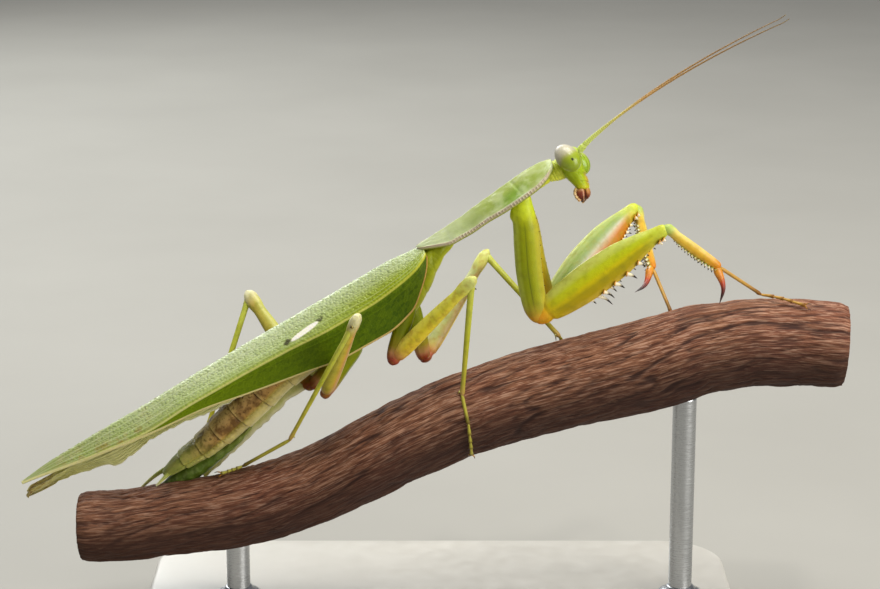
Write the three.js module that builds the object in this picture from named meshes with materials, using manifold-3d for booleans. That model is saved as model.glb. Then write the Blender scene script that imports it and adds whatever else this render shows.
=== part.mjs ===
// A praying mantis, life size, walking up a cut length of branch that stands on two rods over a flat base.
// Units are millimetres. +X is the way the animal faces, +Y its left, +Z up, and the origin is the middle of
// the base's underside. Every limb segment, plate, wing and feeler is its own closed solid with a name.
import * as THREE from "three";
import { mergeVertices } from "three/addons/utils/BufferGeometryUtils.js";
import Module from "manifold-3d";

const wasm = await Module();
wasm.setup();

// ---- Driving dimensions

const STAGE_HEIGHT = 45; // height of the pose's reference level above the base's underside
const BODY_ORIGIN = new THREE.Vector3(-2.9, 0, STAGE_HEIGHT + 6.1); // rear tip of the pronotum
const BODY_CLIMB = 30.9; // degrees that the body slopes up
const BODY_LEAN = 10; // degrees that the back leans to the animal's right

const HEAD_CENTRE = [21.5, 0, -1.05]; // in the body's frame
const HEAD_HEADING = -14; // degrees, towards the animal's right
const HEAD_CLIMB = 8;
const HEAD_TILT = -17; // the left eye is held lower
const EYE_GAP = 2.55; // from the head's midline to an eye's centre

const GAP = 0.12; // clearance between neighbouring solids
const WING_THICKNESS = 0.5;
const FEELER_RADIUS = 0.26;
const FEELER_LENGTH = 30;

const PERCH_START = -46;
const PERCH_END = 51;

const BASE = { length: 76, width: 42, height: 4.5, corner: 8, bevel: 0.6 };
const ROD_RADIUS = 1.5;
const ROD_PLACES = { rear: -26, front: 31 };

// Length of each limb segment, the same on both sides.
const LIMB_LENGTHS = {
  fore: { coxa: 14.9, femur: 19.2, tibia: 8.5 },
  mid: { coxa: 8.0, femur: 16.4, tibia: 15.4 },
  hind: { coxa: 7.8, femur: 16.8, tibia: 22.0 },
};

// The pose. root is where the coxa meets the body, in the body's frame. Each segment points along a heading
// (0 is forward, 90 the animal's left) and a climb, in degrees. The heel and toe stand on the perch at a
// station along X and an angle round it, where 0 is its top and 90 its left side.
const LIMBS = {
  fore_right: {
    root: [14.1, -1.7, -1.3], coxa: [16, -81], femur: [-3, 36.5], tibia: [0, -34],
    heel: [40.3, 2], toe: [45.2, -24], claw: [-100, -80],
  },
  fore_left: {
    root: [13.9, 1.7, -2.3], coxa: [26, -74.4], femur: [43.4, 33.1], tibia: [-60, -58],
    heel: [30.8, 48], toe: [33.4, 82], claw: [229, -29],
  },
  mid_right: {
    root: [-4.6, -2.05, -4.9], coxa: [167, -76], femur: [-29, 46], tibia: [118, -81],
    heel: [3.7, -80], toe: [2.3, -136],
  },
  mid_left: {
    root: [-4.7, 1.9, -6.7], coxa: [20, -77], femur: [47, 45], tibia: [-43, -34],
    heel: [17.2, 74], toe: [19.4, 116],
  },
  hind_right: {
    root: [-12.7, -2.2, -6.5], coxa: [174, -58], femur: [-67, 49], tibia: [136, -56],
    heel: [-23.8, -3], toe: [-27.0, -10],
  },
  hind_left: {
    root: [-14.0, 2.2, -8.2], coxa: [178, -45], femur: [127.3, 32.5], tibia: [-124, -59.5],
    heel: [-33.4, 48], toe: [-37.4, 62],
  },
};

// ---- Colours

const finish = (color, roughness = 0.45, metalness = 0) =>
  new THREE.MeshStandardMaterial({ color, roughness, metalness });
const MATERIALS = {
  cuticle: finish(0x8fae2c),
  pronotum: finish(0x9dbb62),
  wing: finish(0x6f9a24, 0.4),
  hindwing: finish(0xc4c58a, 0.4),
  abdomen: finish(0xa4874a, 0.6),
  foreleg: finish(0xa9b81f, 0.35),
  shin: finish(0xd9a63a, 0.4),
  claw: finish(0x5a1d12, 0.3),
  walking: finish(0xb5b736, 0.45),
  feeler: finish(0xb98a4a, 0.5),
  eye: finish(0xa9b86a, 0.15),
  mouth: finish(0xb58a6c, 0.5),
  wood: finish(0x9a7460, 0.85),
  base: finish(0xd9d6cf, 0.6),
  rod: finish(0xb9bbbe, 0.25, 1),
};

// ---- Frames

const rad = THREE.MathUtils.degToRad;

// Unit vector of a heading and a climb, both in degrees, in the part's frame.
function direction([heading, climb]) {
  const level = Math.cos(rad(climb));
  return new THREE.Vector3(
    level * Math.cos(rad(heading)), level * Math.sin(rad(heading)), Math.sin(rad(climb)));
}

// A frame with its X axis along a heading and climb, turned about that axis by a tilt.
function frameOf(heading, climb, tilt, origin) {
  const turn = new THREE.Matrix4()
    .makeRotationZ(rad(heading))
    .multiply(new THREE.Matrix4().makeRotationY(-rad(climb)))
    .multiply(new THREE.Matrix4().makeRotationX(rad(tilt)));
  return turn.setPosition(origin);
}

const BODY_FRAME = frameOf(0, BODY_CLIMB, BODY_LEAN, BODY_ORIGIN);
const body = (x, y, z) => new THREE.Vector3(x, y, z).applyMatrix4(BODY_FRAME);
const bodyUp = body(0, 0, 1).sub(BODY_ORIGIN);
const bodyLeft = body(0, 1, 0).sub(BODY_ORIGIN);

const HEAD_FRAME = frameOf(HEAD_HEADING, HEAD_CLIMB, HEAD_TILT, body(...HEAD_CENTRE));
const head = (x, y, z) => new THREE.Vector3(x, y, z).applyMatrix4(HEAD_FRAME);
const headUp = head(0, 0, 1).sub(body(...HEAD_CENTRE));
const headLeft = head(0, 1, 0).sub(body(...HEAD_CENTRE));

// ---- Solids

// A closed skin over rings of points: every ring has as many points as the next, and both ends are capped.
function skin(rings) {
  const sides = rings[0].length;
  const points = rings.flat();
  const faces = [];
  for (let ring = 0; ring < rings.length - 1; ring++) {
    for (let side = 0; side < sides; side++) {
      const a = ring * sides + side;
      const b = ring * sides + ((side + 1) % sides);
      faces.push(a, b, b + sides, a, b + sides, a + sides);
    }
  }
  const cap = (ring, turned) => {
    const middle = new THREE.Vector3();
    ring.forEach((point) => middle.add(point));
    points.push(middle.divideScalar(sides));
    const first = ring === rings[0] ? 0 : (rings.length - 1) * sides;
    for (let side = 0; side < sides; side++) {
      const a = first + side;
      const b = first + ((side + 1) % sides);
      faces.push(...(turned ? [b, a, points.length - 1] : [a, b, points.length - 1]));
    }
  };
  cap(rings[0], true);
  cap(rings[rings.length - 1], false);
  return closed(new THREE.BufferGeometry().setFromPoints(points).setIndex(faces));
}

// A geometry as a manifold solid, turned inside out where its faces point inwards.
function closed(geometry) {
  const bare = geometry.index ? geometry.clone() : mergeVertices(geometry.clone());
  for (const name of Object.keys(bare.attributes)) if (name !== "position") bare.deleteAttribute(name);
  const merged = mergeVertices(bare, 1e-4);
  const mesh = (triVerts) =>
    new wasm.Manifold(new wasm.Mesh({
      numProp: 3, vertProperties: new Float32Array(merged.attributes.position.array), triVerts,
    }));
  const triVerts = new Uint32Array(merged.index.array);
  const made = mesh(triVerts);
  return made.volume() > 0 ? made : mesh(triVerts.toReversed());
}

function geometryOf(solid) {
  const mesh = solid.getMesh();
  const points = new Float32Array(mesh.numVert * 3);
  for (let i = 0; i < mesh.numVert; i++) {
    points.set(mesh.vertProperties.subarray(i * mesh.numProp, i * mesh.numProp + 3), i * 3);
  }
  const geometry = new THREE.BufferGeometry()
    .setAttribute("position", new THREE.BufferAttribute(points, 3))
    .setIndex(new THREE.BufferAttribute(mesh.triVerts, 1));
  geometry.computeVertexNormals();
  return geometry;
}

// One ring of a sweep: an oval of half-width w along side and half-height h along up. fullness of 2 is an
// ellipse, and more is squarer.
function oval(centre, side, up, w, h, sides, fullness = 2) {
  return Array.from({ length: sides }, (_, i) => {
    const angle = (2 * Math.PI * i) / sides;
    const c = Math.cos(angle);
    const s = Math.sin(angle);
    const reach = (Math.abs(c) ** fullness + Math.abs(s) ** fullness) ** (-1 / fullness);
    return centre.clone().addScaledVector(side, w * reach * c).addScaledVector(up, h * reach * s);
  });
}

// A sweep along points, with a [half-width, half-height, lift] at each of them. up is the reference for the
// height and lift, and grow thickens the sweep all round for cutting clearances.
function sweep(points, sizes, up, { sides = 8, grow = 0, fullness = 2 } = {}) {
  const last = points.length - 1;
  const rings = points.map((point, i) => {
    const along = points[Math.min(i + 1, last)].clone().sub(points[Math.max(i - 1, 0)]).normalize();
    const side = new THREE.Vector3().crossVectors(up, along).normalize();
    const over = new THREE.Vector3().crossVectors(along, side);
    const [w, h, lift = 0] = sizes[i];
    const centre = point.clone().addScaledVector(over, lift);
    if (i === 0) centre.addScaledVector(along, -grow);
    if (i === last) centre.addScaledVector(along, grow);
    return oval(centre, side, over, w + grow, h + grow, sides, fullness);
  });
  return skin(rings);
}

// A straight sweep from one point to another. Each row is a share of the length and the sizes there.
function limb(from, to, rows, up, options) {
  return sweep(rows.map(([t]) => from.clone().lerp(to, t)), rows.map(([, ...size]) => size), up, options);
}

// Reads a table of [t, value, ...] rows at t, in straight steps between them.
function reading(rows, t) {
  let i = 0;
  while (i < rows.length - 2 && t > rows[i + 1][0]) i++;
  const share = THREE.MathUtils.clamp((t - rows[i][0]) / (rows[i + 1][0] - rows[i][0]), 0, 1);
  return rows[i].slice(1).map((value, k) => value + (rows[i + 1][k + 1] - value) * share);
}

// A pointed spine or claw along a curve through points, round, of a given radius at its root.
function spine(points, radius, { sides = 4, steps = 2, grow = 0 } = {}) {
  const TIP_SHARE = 0.22;
  const along = new THREE.CatmullRomCurve3(points).getPoints(steps);
  const sizes = along.map((_, i) => {
    const r = radius * (1 - ((1 - TIP_SHARE) * i) / steps);
    return [r, r];
  });
  return sweep(along, sizes, new THREE.Vector3(0.31, 0.72, 0.62).normalize(), { sides, grow });
}

// ---- The register of parts

const mantis = new THREE.Group();
const makers = new Map();

const biggest = (solid) =>
  solid.decompose().reduce((best, one) => (one.volume() > best.volume() ? one : best));

// Adds a part. make(grow) builds its solid, thicker by grow, and neighbours are parts already made that it
// is cut back from, so that the two meet with a clearance.
function part(name, material, make, neighbours = []) {
  let solid = make(0);
  for (const neighbour of neighbours) solid = solid.subtract(makers.get(neighbour)(GAP));
  makers.set(name, make);
  const mesh = new THREE.Mesh(geometryOf(biggest(solid)), MATERIALS[material]);
  mesh.name = name;
  mantis.add(mesh);
}

// ---- Perch and stand

// Stations of the perch: along X, a slight sideways sway, height above the reference level, and radius.
const PERCH_STATIONS = [
  [-49, 0.5, -30.9, 4.7], [-42, 0.2, -30.9, 4.6], [-34, 0.4, -29.7, 4.75], [-24, 0.1, -28.0, 5.05],
  [-15, -0.2, -24.7, 4.95], [-6, -0.3, -19.8, 5.2], [4, -0.2, -15.2, 5.35], [15, 0.2, -12.0, 5.7],
  [27, 0.4, -9.15, 5.9], [36, 0.2, -6.5, 5.65], [44, 0, -6.2, 5.55], [52, -0.4, -6.7, 5.4],
];
const perchLine = new THREE.CatmullRomCurve3(
  PERCH_STATIONS.map(([x, y, z]) => new THREE.Vector3(x, y, z + STAGE_HEIGHT)));

// The perch's centre, direction and radius where it crosses a station along X.
function perchAt(x) {
  let [low, high] = [0, 1];
  for (let i = 0; i < 30; i++) {
    const middle = (low + high) / 2;
    if (perchLine.getPoint(middle).x < x) low = middle;
    else high = middle;
  }
  const along = perchLine.getTangent(low);
  const side = new THREE.Vector3(0, 1, 0).cross(along).cross(along).negate().normalize();
  const up = new THREE.Vector3().crossVectors(along, side);
  const [, , radius] = reading(PERCH_STATIONS, x);
  return { centre: perchLine.getPoint(low), along, side, up, radius };
}

// A point over the perch at a station along X and an angle round it, lifted off its surface.
function onPerch([x, angle], lift) {
  const { centre, side, up, radius } = perchAt(x);
  return centre.clone()
    .addScaledVector(side, (radius + lift) * Math.sin(rad(angle)))
    .addScaledVector(up, (radius + lift) * Math.cos(rad(angle)));
}

// The station, angle and lift of a point off the perch's surface.
function offPerch(point) {
  let x = point.x;
  for (let i = 0; i < 20; i++) {
    const { centre, along } = perchAt(x);
    x += point.clone().sub(centre).dot(along) * along.x;
  }
  const { centre, side, up, radius } = perchAt(x);
  const out = point.clone().sub(centre);
  const angle = THREE.MathUtils.radToDeg(Math.atan2(out.dot(side), out.dot(up)));
  return { x, angle, lift: out.length() - radius };
}

function perch(grow) {
  const RINGS = 16;
  const SIDES = 12;
  const rings = Array.from({ length: RINGS + 1 }, (_, i) => {
    const x = PERCH_START + ((PERCH_END - PERCH_START) * i) / RINGS;
    const { centre, along, side, up, radius } = perchAt(x);
    if (i === 0) centre.addScaledVector(along, -grow);
    if (i === RINGS) centre.addScaledVector(along, grow);
    return oval(centre, side, up, radius + grow, radius + grow, SIDES);
  });
  return skin(rings);
}

function standBase(grow) {
  const outline = new THREE.Shape();
  const x = BASE.length / 2 - BASE.bevel + grow;
  const y = BASE.width / 2 - BASE.bevel + grow;
  const corner = BASE.corner - BASE.bevel;
  outline.absarc(x - corner, y - corner, corner, 0, Math.PI / 2);
  outline.absarc(corner - x, y - corner, corner, Math.PI / 2, Math.PI);
  outline.absarc(corner - x, corner - y, corner, Math.PI, 1.5 * Math.PI);
  outline.absarc(x - corner, corner - y, corner, 1.5 * Math.PI, 2 * Math.PI);
  outline.closePath();
  const slab = new THREE.ExtrudeGeometry(outline, {
    depth: BASE.height - 2 * BASE.bevel + 2 * grow,
    bevelThickness: BASE.bevel, bevelSize: BASE.bevel, bevelSegments: 1, curveSegments: 3,
  });
  return closed(slab.translate(0, 0, BASE.bevel - grow));
}

const standRod = (x) => (grow) => {
  const top = perchAt(x).centre;
  const length = top.z - BASE.height - GAP;
  const rod = new THREE.CylinderGeometry(ROD_RADIUS + grow, ROD_RADIUS + grow, length, 20);
  return closed(rod.rotateX(Math.PI / 2).translate(x, top.y, BASE.height + GAP + length / 2));
};

part("perch", "wood", perch);
part("stand_base", "base", standBase);
for (const [place, x] of Object.entries(ROD_PLACES)) {
  part(`stand_rod_${place}`, "rod", standRod(x), ["perch"]);
}

// ---- Trunk

// Each row of the pronotum: station along the body, half-width, height of the ridge, height of the margin.
const PRONOTUM_ROWS = [
  [0.0, 0.3, 0.15, 0.0], [0.9, 0.95, 0.2, -0.15], [2.4, 1.55, 0.25, -0.5], [4.4, 2.15, 0.35, -0.95],
  [6.6, 2.2, 0.5, -0.95], [9.5, 2.6, 0.85, -0.6], [12, 3.1, 1.1, -0.4], [14.5, 3.4, 1.38, -0.15],
  [16.6, 3.2, 1.56, 0], [18.3, 2.6, 1.5, 0.3], [19.4, 1.6, 1.28, 0.6], [19.9, 0.5, 1.05, 0.8],
];
const PRONOTUM_THICKNESS = 0.55;

// A roof with a rounded ridge over a hollowed underside.
const ROOF_SHARES = [1, 0.75, 0.35, 0, -0.35, -0.75, -1];
const UNDERSIDE_SHARES = [-0.82, -0.45, 0.45, 0.82];
function pronotum(grow) {
  return skin(PRONOTUM_ROWS.map(([x, w, ridge, margin], i) => {
    const end = i === 0 ? -grow : i === PRONOTUM_ROWS.length - 1 ? grow : 0;
    const height = (share) => ridge - (ridge - margin) * Math.abs(share) ** 1.35;
    const top = ROOF_SHARES.map((share) => {
      const z = height(share) + (Math.abs(share) === 1 ? -PRONOTUM_THICKNESS / 2 : grow);
      return body(x + end, (w + grow) * share, z);
    });
    const under = UNDERSIDE_SHARES.map((share) =>
      body(x + end, (w + grow) * share, height(share) - PRONOTUM_THICKNESS - grow));
    return [...top, ...under];
  }));
}

// Each row of a trunk piece: station, height of its middle, half-width, half-height.
const trunk = (rows, options = {}) => (grow) => {
  const points = rows.map(([x, z]) => body(x, 0, z));
  return sweep(points, rows.map(([, , w, h]) => [w, h]), bodyUp, { sides: 12, grow, ...options });
};

const PROTHORAX_ROWS = [
  [2.6, -1.15, 0.7, 0.4], [5, -1.3, 1.0, 0.5], [9, -1.1, 1.1, 0.7], [12, -0.9, 1.3, 0.78],
  [14.5, -0.72, 1.45, 0.88], [17, -0.52, 1.4, 0.86], [19.1, -0.47, 1.15, 0.78],
];
const NECK_ROWS = [
  [19.0, -0.4, 1.1, 0.85], [20.1, -0.55, 1.25, 1.15], [21.2, -0.9, 1.2, 1.15],
];
const THORAX_ROWS = [
  [4.2, -1.6, 0.4, 0.3], [2.2, -1.75, 1.4, 1.05], [0, -2.5, 1.9, 1.6], [-3, -3.75, 2.2, 2.45],
  [-6.5, -4.7, 2.3, 3.1], [-10, -5.3, 2.2, 2.7], [-13.6, -5.35, 2.15, 2.45],
];
// The abdomen's outline. Its rings are made by loop below, each one flared over the next.
const ABDOMEN_OUTLINE = [
  [-13.9, -5.35, 2.05, 2.45], [-18, -5.2, 2.1, 2.3], [-23, -5.7, 2.1, 2.4], [-28, -6.9, 2.15, 2.45],
  [-33, -8.0, 2.2, 2.1], [-37, -8.8, 2.0, 1.55], [-40.5, -9.1, 1.6, 1.05], [-43.2, -9.5, 0.95, 0.5],
];
const ABDOMEN_RINGS = 7;
const RING_FLARE = 0.12;

function abdomenRows() {
  const first = ABDOMEN_OUTLINE[0][0];
  const last = ABDOMEN_OUTLINE[ABDOMEN_OUTLINE.length - 1][0];
  const table = ABDOMEN_OUTLINE.map(([x, ...rest]) => [-x, ...rest]);
  return Array.from({ length: ABDOMEN_RINGS * 2 }, (_, i) => {
    const ring = Math.floor(i / 2);
    const share = (ring + (i % 2 ? 0.9 : 0.04)) / ABDOMEN_RINGS;
    const x = first + (last - first) * share;
    const [z, w, h] = reading(table, -x);
    const flare = i % 2 ? RING_FLARE : -RING_FLARE;
    return [x, z, w + flare, h + flare];
  });
}

// The keel-shaped plate under the abdomen's end.
const END_PLATE_ROWS = [
  [-30.5, -9.9, 0.8, 0.35], [-33, -10.35, 1.3, 0.55], [-36.5, -10.75, 1.6, 0.8], [-39.5, -11.0, 1.6, 1.1],
  [-42, -11.1, 1.25, 1.0], [-44.3, -11.1, 0.75, 0.6], [-46.3, -11.15, 0.25, 0.25],
];

part("pronotum", "pronotum", pronotum);
part("prothorax", "cuticle", trunk(PROTHORAX_ROWS), ["pronotum"]);
part("thorax", "cuticle", trunk(THORAX_ROWS), ["pronotum", "prothorax"]);
part("abdomen", "abdomen", trunk(abdomenRows(), { sides: 10 }), ["thorax", "perch"]);
part("abdomen_plate", "cuticle", trunk(END_PLATE_ROWS, { sides: 8 }), ["abdomen", "perch"]);

const CERCUS = { root: [-42.3, 0.75, -9.35], spread: 1.1, length: 5.0, radius: 0.36 };
const CERCUS_DROP = { right: -2.4, left: -1.0 };
for (const [side, hand] of [["right", -1], ["left", 1]]) {
  part(`cercus_${side}`, "cuticle", (grow) => {
    const [x, y, z] = CERCUS.root;
    const bend = (share) => body(
      x - CERCUS.length * share, hand * (y + CERCUS.spread * share), z + CERCUS_DROP[side] * share ** 1.8);
    return spine([bend(0), bend(0.35), bend(0.7), bend(1)], CERCUS.radius, { sides: 6, steps: 5, grow });
  }, ["abdomen", "abdomen_plate", "perch"]);
}

// ---- Head

// Each row of the head capsule, from the crown down to the clypeus: height, forward shift, half-depth,
// half-width.
const HEAD_ROWS = [
  [2.25, 0.5, 0.45, 1.1], [1.9, 0.4, 0.95, 1.95], [1.1, 0.2, 1.3, 2.45], [0.1, 0.2, 1.4, 2.4],
  [-0.9, 0.45, 1.42, 1.9], [-1.8, 0.9, 1.2, 1.4], [-2.5, 1.25, 0.9, 1.1], [-2.9, 1.35, 0.8, 1.0],
];
function headCapsule(grow) {
  const points = HEAD_ROWS.map(([z, x]) => head(x, 0, z));
  const rings = HEAD_ROWS.map(([z, x, depth, width], i) => {
    const end = i === 0 ? grow : i === HEAD_ROWS.length - 1 ? -grow : 0;
    const centre = points[i].clone().addScaledVector(headUp, end);
    const forward = new THREE.Vector3().crossVectors(headLeft, headUp);
    return oval(centre, forward, headLeft, depth + grow, width + grow, 12, 2.2);
  });
  return skin(rings);
}

// An egg-shaped eye at the head's upper corner, its long axis leaning back at the top.
const EYE = { forward: 0.3, up: 0.85, width: 1.3, depth: 1.4, height: 1.95, lean: 40, splay: 14 };
const eye = (hand) => (grow) => {
  const ball = new THREE.SphereGeometry(1, 10, 8);
  ball.scale(EYE.depth + grow, EYE.width + grow, EYE.height + grow);
  ball.rotateY(-rad(EYE.lean));
  ball.rotateX(hand * rad(EYE.splay));
  ball.translate(EYE.forward, hand * EYE_GAP, EYE.up);
  return closed(ball.applyMatrix4(HEAD_FRAME));
};

// The mouth parts: the upper lip in front, a jaw on each side and two jointed palps behind.
const LABRUM_ROWS = [[0, 0.62, 0.3], [0.5, 0.6, 0.32], [1, 0.35, 0.28]];
const JAW_ROWS = [[0, 0.42, 0.62], [0.45, 0.45, 0.6], [0.8, 0.34, 0.45], [1, 0.2, 0.26]];
const headForward = new THREE.Vector3().crossVectors(headLeft, headUp);
const labrum = (grow) =>
  limb(head(2.0, 0, -2.85), head(1.9, 0, -4.1), LABRUM_ROWS, headForward, { sides: 6, grow });
const jaw = (hand) => (grow) => {
  const hinge = head(1.2, hand * 0.62, -3.05);
  const tip = head(1.3, hand * 0.3, -4.4);
  return limb(hinge, tip, JAW_ROWS, headForward, { sides: 6, grow });
};
const PALP_RADIUS = 0.26;
const palp = (hand) => (grow) => {
  const joints = [
    head(0.75, hand * 1.0, -2.75), head(0.7, hand * 1.2, -3.6), head(1.15, hand * 1.05, -4.4),
  ];
  const points = new THREE.CatmullRomCurve3(joints).getPoints(4);
  return sweep(points, points.map(() => [PALP_RADIUS, PALP_RADIUS]), headForward, { sides: 6, grow });
};

// A feeler sweeps forward and up from the brow, and droops a little towards its tip.
const FEELER = {
  root: [1.4, 0.5, 2.15], // on the head
  right: { heading: -6, climb: 45, turn: 5, droop: 21, ease: 0.7 },
  left: { heading: 1, climb: 48, turn: 6, droop: 24, ease: 0.6 },
};
const feeler = (side, hand) => (grow) => {
  const [x, y, z] = FEELER.root;
  const { heading, climb, turn, droop, ease } = FEELER[side];
  const STEPS = 14;
  const points = [head(x, hand * y, z)];
  for (let i = 0; i < STEPS; i++) {
    const share = (i + 0.5) / STEPS;
    const step = direction([heading + turn * share, climb - droop * share ** ease]);
    points.push(points[i].clone().addScaledVector(step, FEELER_LENGTH / STEPS));
  }
  const sizes = points.map((_, i) => Array(2).fill(FEELER_RADIUS * (i < 2 ? 1.5 : 1)));
  return sweep(points, sizes, bodyLeft, { sides: 5, grow });
};

part("head", "cuticle", headCapsule);
part("neck", "cuticle", trunk(NECK_ROWS, { sides: 8 }), ["head", "pronotum", "prothorax"]);
for (const [side, hand] of [["right", -1], ["left", 1]]) {
  part(`eye_${side}`, "eye", eye(hand), ["head", "neck", "pronotum"]);
  part(`antenna_${side}`, "feeler", feeler(side, hand),
    ["head", `eye_${side}`, ...(side === "left" ? ["antenna_right"] : [])]);
}
part("labrum", "mouth", labrum, ["head"]);
for (const [side, hand] of [["right", -1], ["left", 1]]) {
  part(`jaw_${side}`, "mouth", jaw(hand), ["head", "labrum", ...(side === "left" ? ["jaw_right"] : [])]);
}
for (const [side, hand] of [["right", -1], ["left", 1]]) {
  part(`palp_${side}`, "mouth", palp(hand), ["head", "jaw_right", "jaw_left"]);
}

// ---- Wings

// A folded wing is a sheet over stations along the body. Each row gives the station, then for the folded
// section: half-width at its lower edge, height there, half-width and height at the main vein, height at
// the middle of the back, and how far the sheet reaches past the middle.
const FOREWING_ROWS = [
  [0.3, 2.3, -1.6, 2.2, -1.3, -1.0, -1.2], [-1.6, 3.0, -3.7, 2.7, -1.7, -0.93, -0.4],
  [-4.5, 3.4, -5.8, 3.0, -2.1, -0.85, 0.5], [-8.5, 3.6, -6.6, 3.1, -2.45, -0.85, 1.0],
  [-14, 3.6, -6.55, 3.15, -2.45, -0.86, 1.3], [-20.5, 3.5, -5.5, 3.1, -2.1, -0.86, 1.3],
  [-27, 3.3, -4.4, 2.95, -1.9, -0.88, 1.3], [-34, 3.0, -3.15, 2.7, -1.75, -0.95, 1.2],
  [-41, 2.6, -2.7, 2.3, -1.7, -1.15, 1.0], [-48, 1.95, -2.35, 1.75, -1.7, -1.2, 0.4],
  [-54, 1.2, -1.85, 1.05, -1.6, -1.3, 0], [-59, 0.5, -1.75, 0.42, -1.45, -1.3, -0.18],
];
const OVERLAP_LIFT = 0.88; // the right forewing lies over the left one
// The hindwings lie folded inside the forewings and show as a fringe below them: station and edge height.
const FRINGE_ROWS = [
  [10.5, -3.6], [17, -4.9], [26, -4.5], [32, -4.5], [37, -3.8], [41, -3.8], [45.5, -4.5], [49, -4.5],
  [54, -3.0], [57.8, -2.9],
];
const HINDWING_INSET = 0.84;
const SHEET_POINTS = 6;

// Widths and heights across a folded wing at a station, from its lower edge over the main vein to the back.
function forewingSection([, wEdge, zEdge, wVein, zVein, zMiddle, past], lift) {
  const shoulder = zVein * 0.38 + zMiddle * 0.62 + lift / 2;
  const tuck = OVERLAP_LIFT / 2 - lift; // the sheet past the middle follows the other wing's slope
  const slope = (zMiddle + lift - shoulder + tuck) / (wVein * 0.52);
  return [
    [wEdge, zEdge], [(wEdge + wVein) / 2 + 0.08, (zEdge + zVein) / 2], [wVein, zVein],
    [wVein * 0.52, shoulder], [Math.max(0, -past), zMiddle + lift],
    ...(past > 0 ? [[-past, zMiddle + lift - slope * past]] : []),
  ];
}

// A hindwing section follows the forewing's, set in from it, down to its own edge. Towards the tail it sinks
// below the forewing, where there is no room left inside it.
const HINDWING_DROP = { side: 0.5, roof: 1.1, tail: 0.5, tailFrom: 41, tailTo: 49 };
const HINDWING_MIDDLE = 0.45; // nearest that a hindwing comes to the middle
function hindwingSection(x) {
  const outer = FOREWING_ROWS.map(([station, ...rest]) => [-station, ...rest]);
  const [wEdge, , wVein, zVein, zMiddle] = reading(outer, -x);
  const [zEdge] = reading(FRINGE_ROWS, -x);
  const inset = Math.min(HINDWING_INSET, wEdge * 0.55);
  const { side, roof, tail, tailFrom, tailTo } = HINDWING_DROP;
  const tailShare = THREE.MathUtils.smoothstep(-x, tailFrom, tailTo);
  const zSide = zVein - side - tail * tailShare;
  const zShoulder = Math.max(zVein * 0.33 + zMiddle * 0.67 - roof, tailShare > 0 ? zSide + 0.1 : -roof * 9);
  const zTop = Math.max(zMiddle - roof, tailShare > 0 ? zShoulder + 0.1 : -roof * 9);
  const clear = (y) => Math.max(y, HINDWING_MIDDLE);
  return [
    [clear(wEdge - inset), zEdge], [clear((wEdge + wVein) / 2 - inset), (zEdge + zSide) / 2],
    [clear(wVein - inset), zSide], [Math.max(wVein * 0.45, 0.56), zShoulder], [HINDWING_MIDDLE, zTop],
  ];
}

// The sheet of one folded wing, from sections at stations along the body: an outer face and an inner one,
// closed round the edge.
const foldedWing = (stations, sectionAt, hand) => (grow) => {
  const half = WING_THICKNESS / 2 + grow;
  return skin(stations.map((x, i) => {
    const end = i === 0 ? grow : i === stations.length - 1 ? -grow : 0;
    const corners = sectionAt(i).map(([y, z]) => new THREE.Vector3(0, y, z));
    const across = new THREE.CatmullRomCurve3(corners).getSpacedPoints(SHEET_POINTS);
    const offset = (sign) => across.map((point, k) => {
      const ahead = across[Math.min(k + 1, across.length - 1)];
      const behind = across[Math.max(k - 1, 0)];
      const run = ahead.clone().sub(behind).normalize();
      const reach = k === 0 ? -grow : k === across.length - 1 ? grow : 0;
      const y = point.y + run.z * half * sign + run.y * reach;
      const z = point.z - run.y * half * sign + run.z * reach;
      return body(x + end, hand * y, z);
    });
    return [...offset(1), ...offset(-1).reverse()];
  }));
};

const forewing = (hand, lift) => foldedWing(
  FOREWING_ROWS.map(([x]) => x), (i) => forewingSection(FOREWING_ROWS[i], lift), hand);
const hindwing = (hand) => foldedWing(
  FRINGE_ROWS.map(([x]) => -x), (i) => hindwingSection(-FRINGE_ROWS[i][0]), hand);

const TRUNK = ["pronotum", "prothorax", "thorax", "abdomen", "perch"];
part("forewing_left", "wing", forewing(1, 0), TRUNK);
part("forewing_right", "wing", forewing(-1, OVERLAP_LIFT), [...TRUNK, "forewing_left"]);
const FOREWINGS = ["forewing_right", "forewing_left"];
part("hindwing_right", "hindwing", hindwing(-1), [...TRUNK, ...FOREWINGS]);
part("hindwing_left", "hindwing", hindwing(1), [...TRUNK, ...FOREWINGS, "hindwing_right"]);

// ---- Legs

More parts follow.
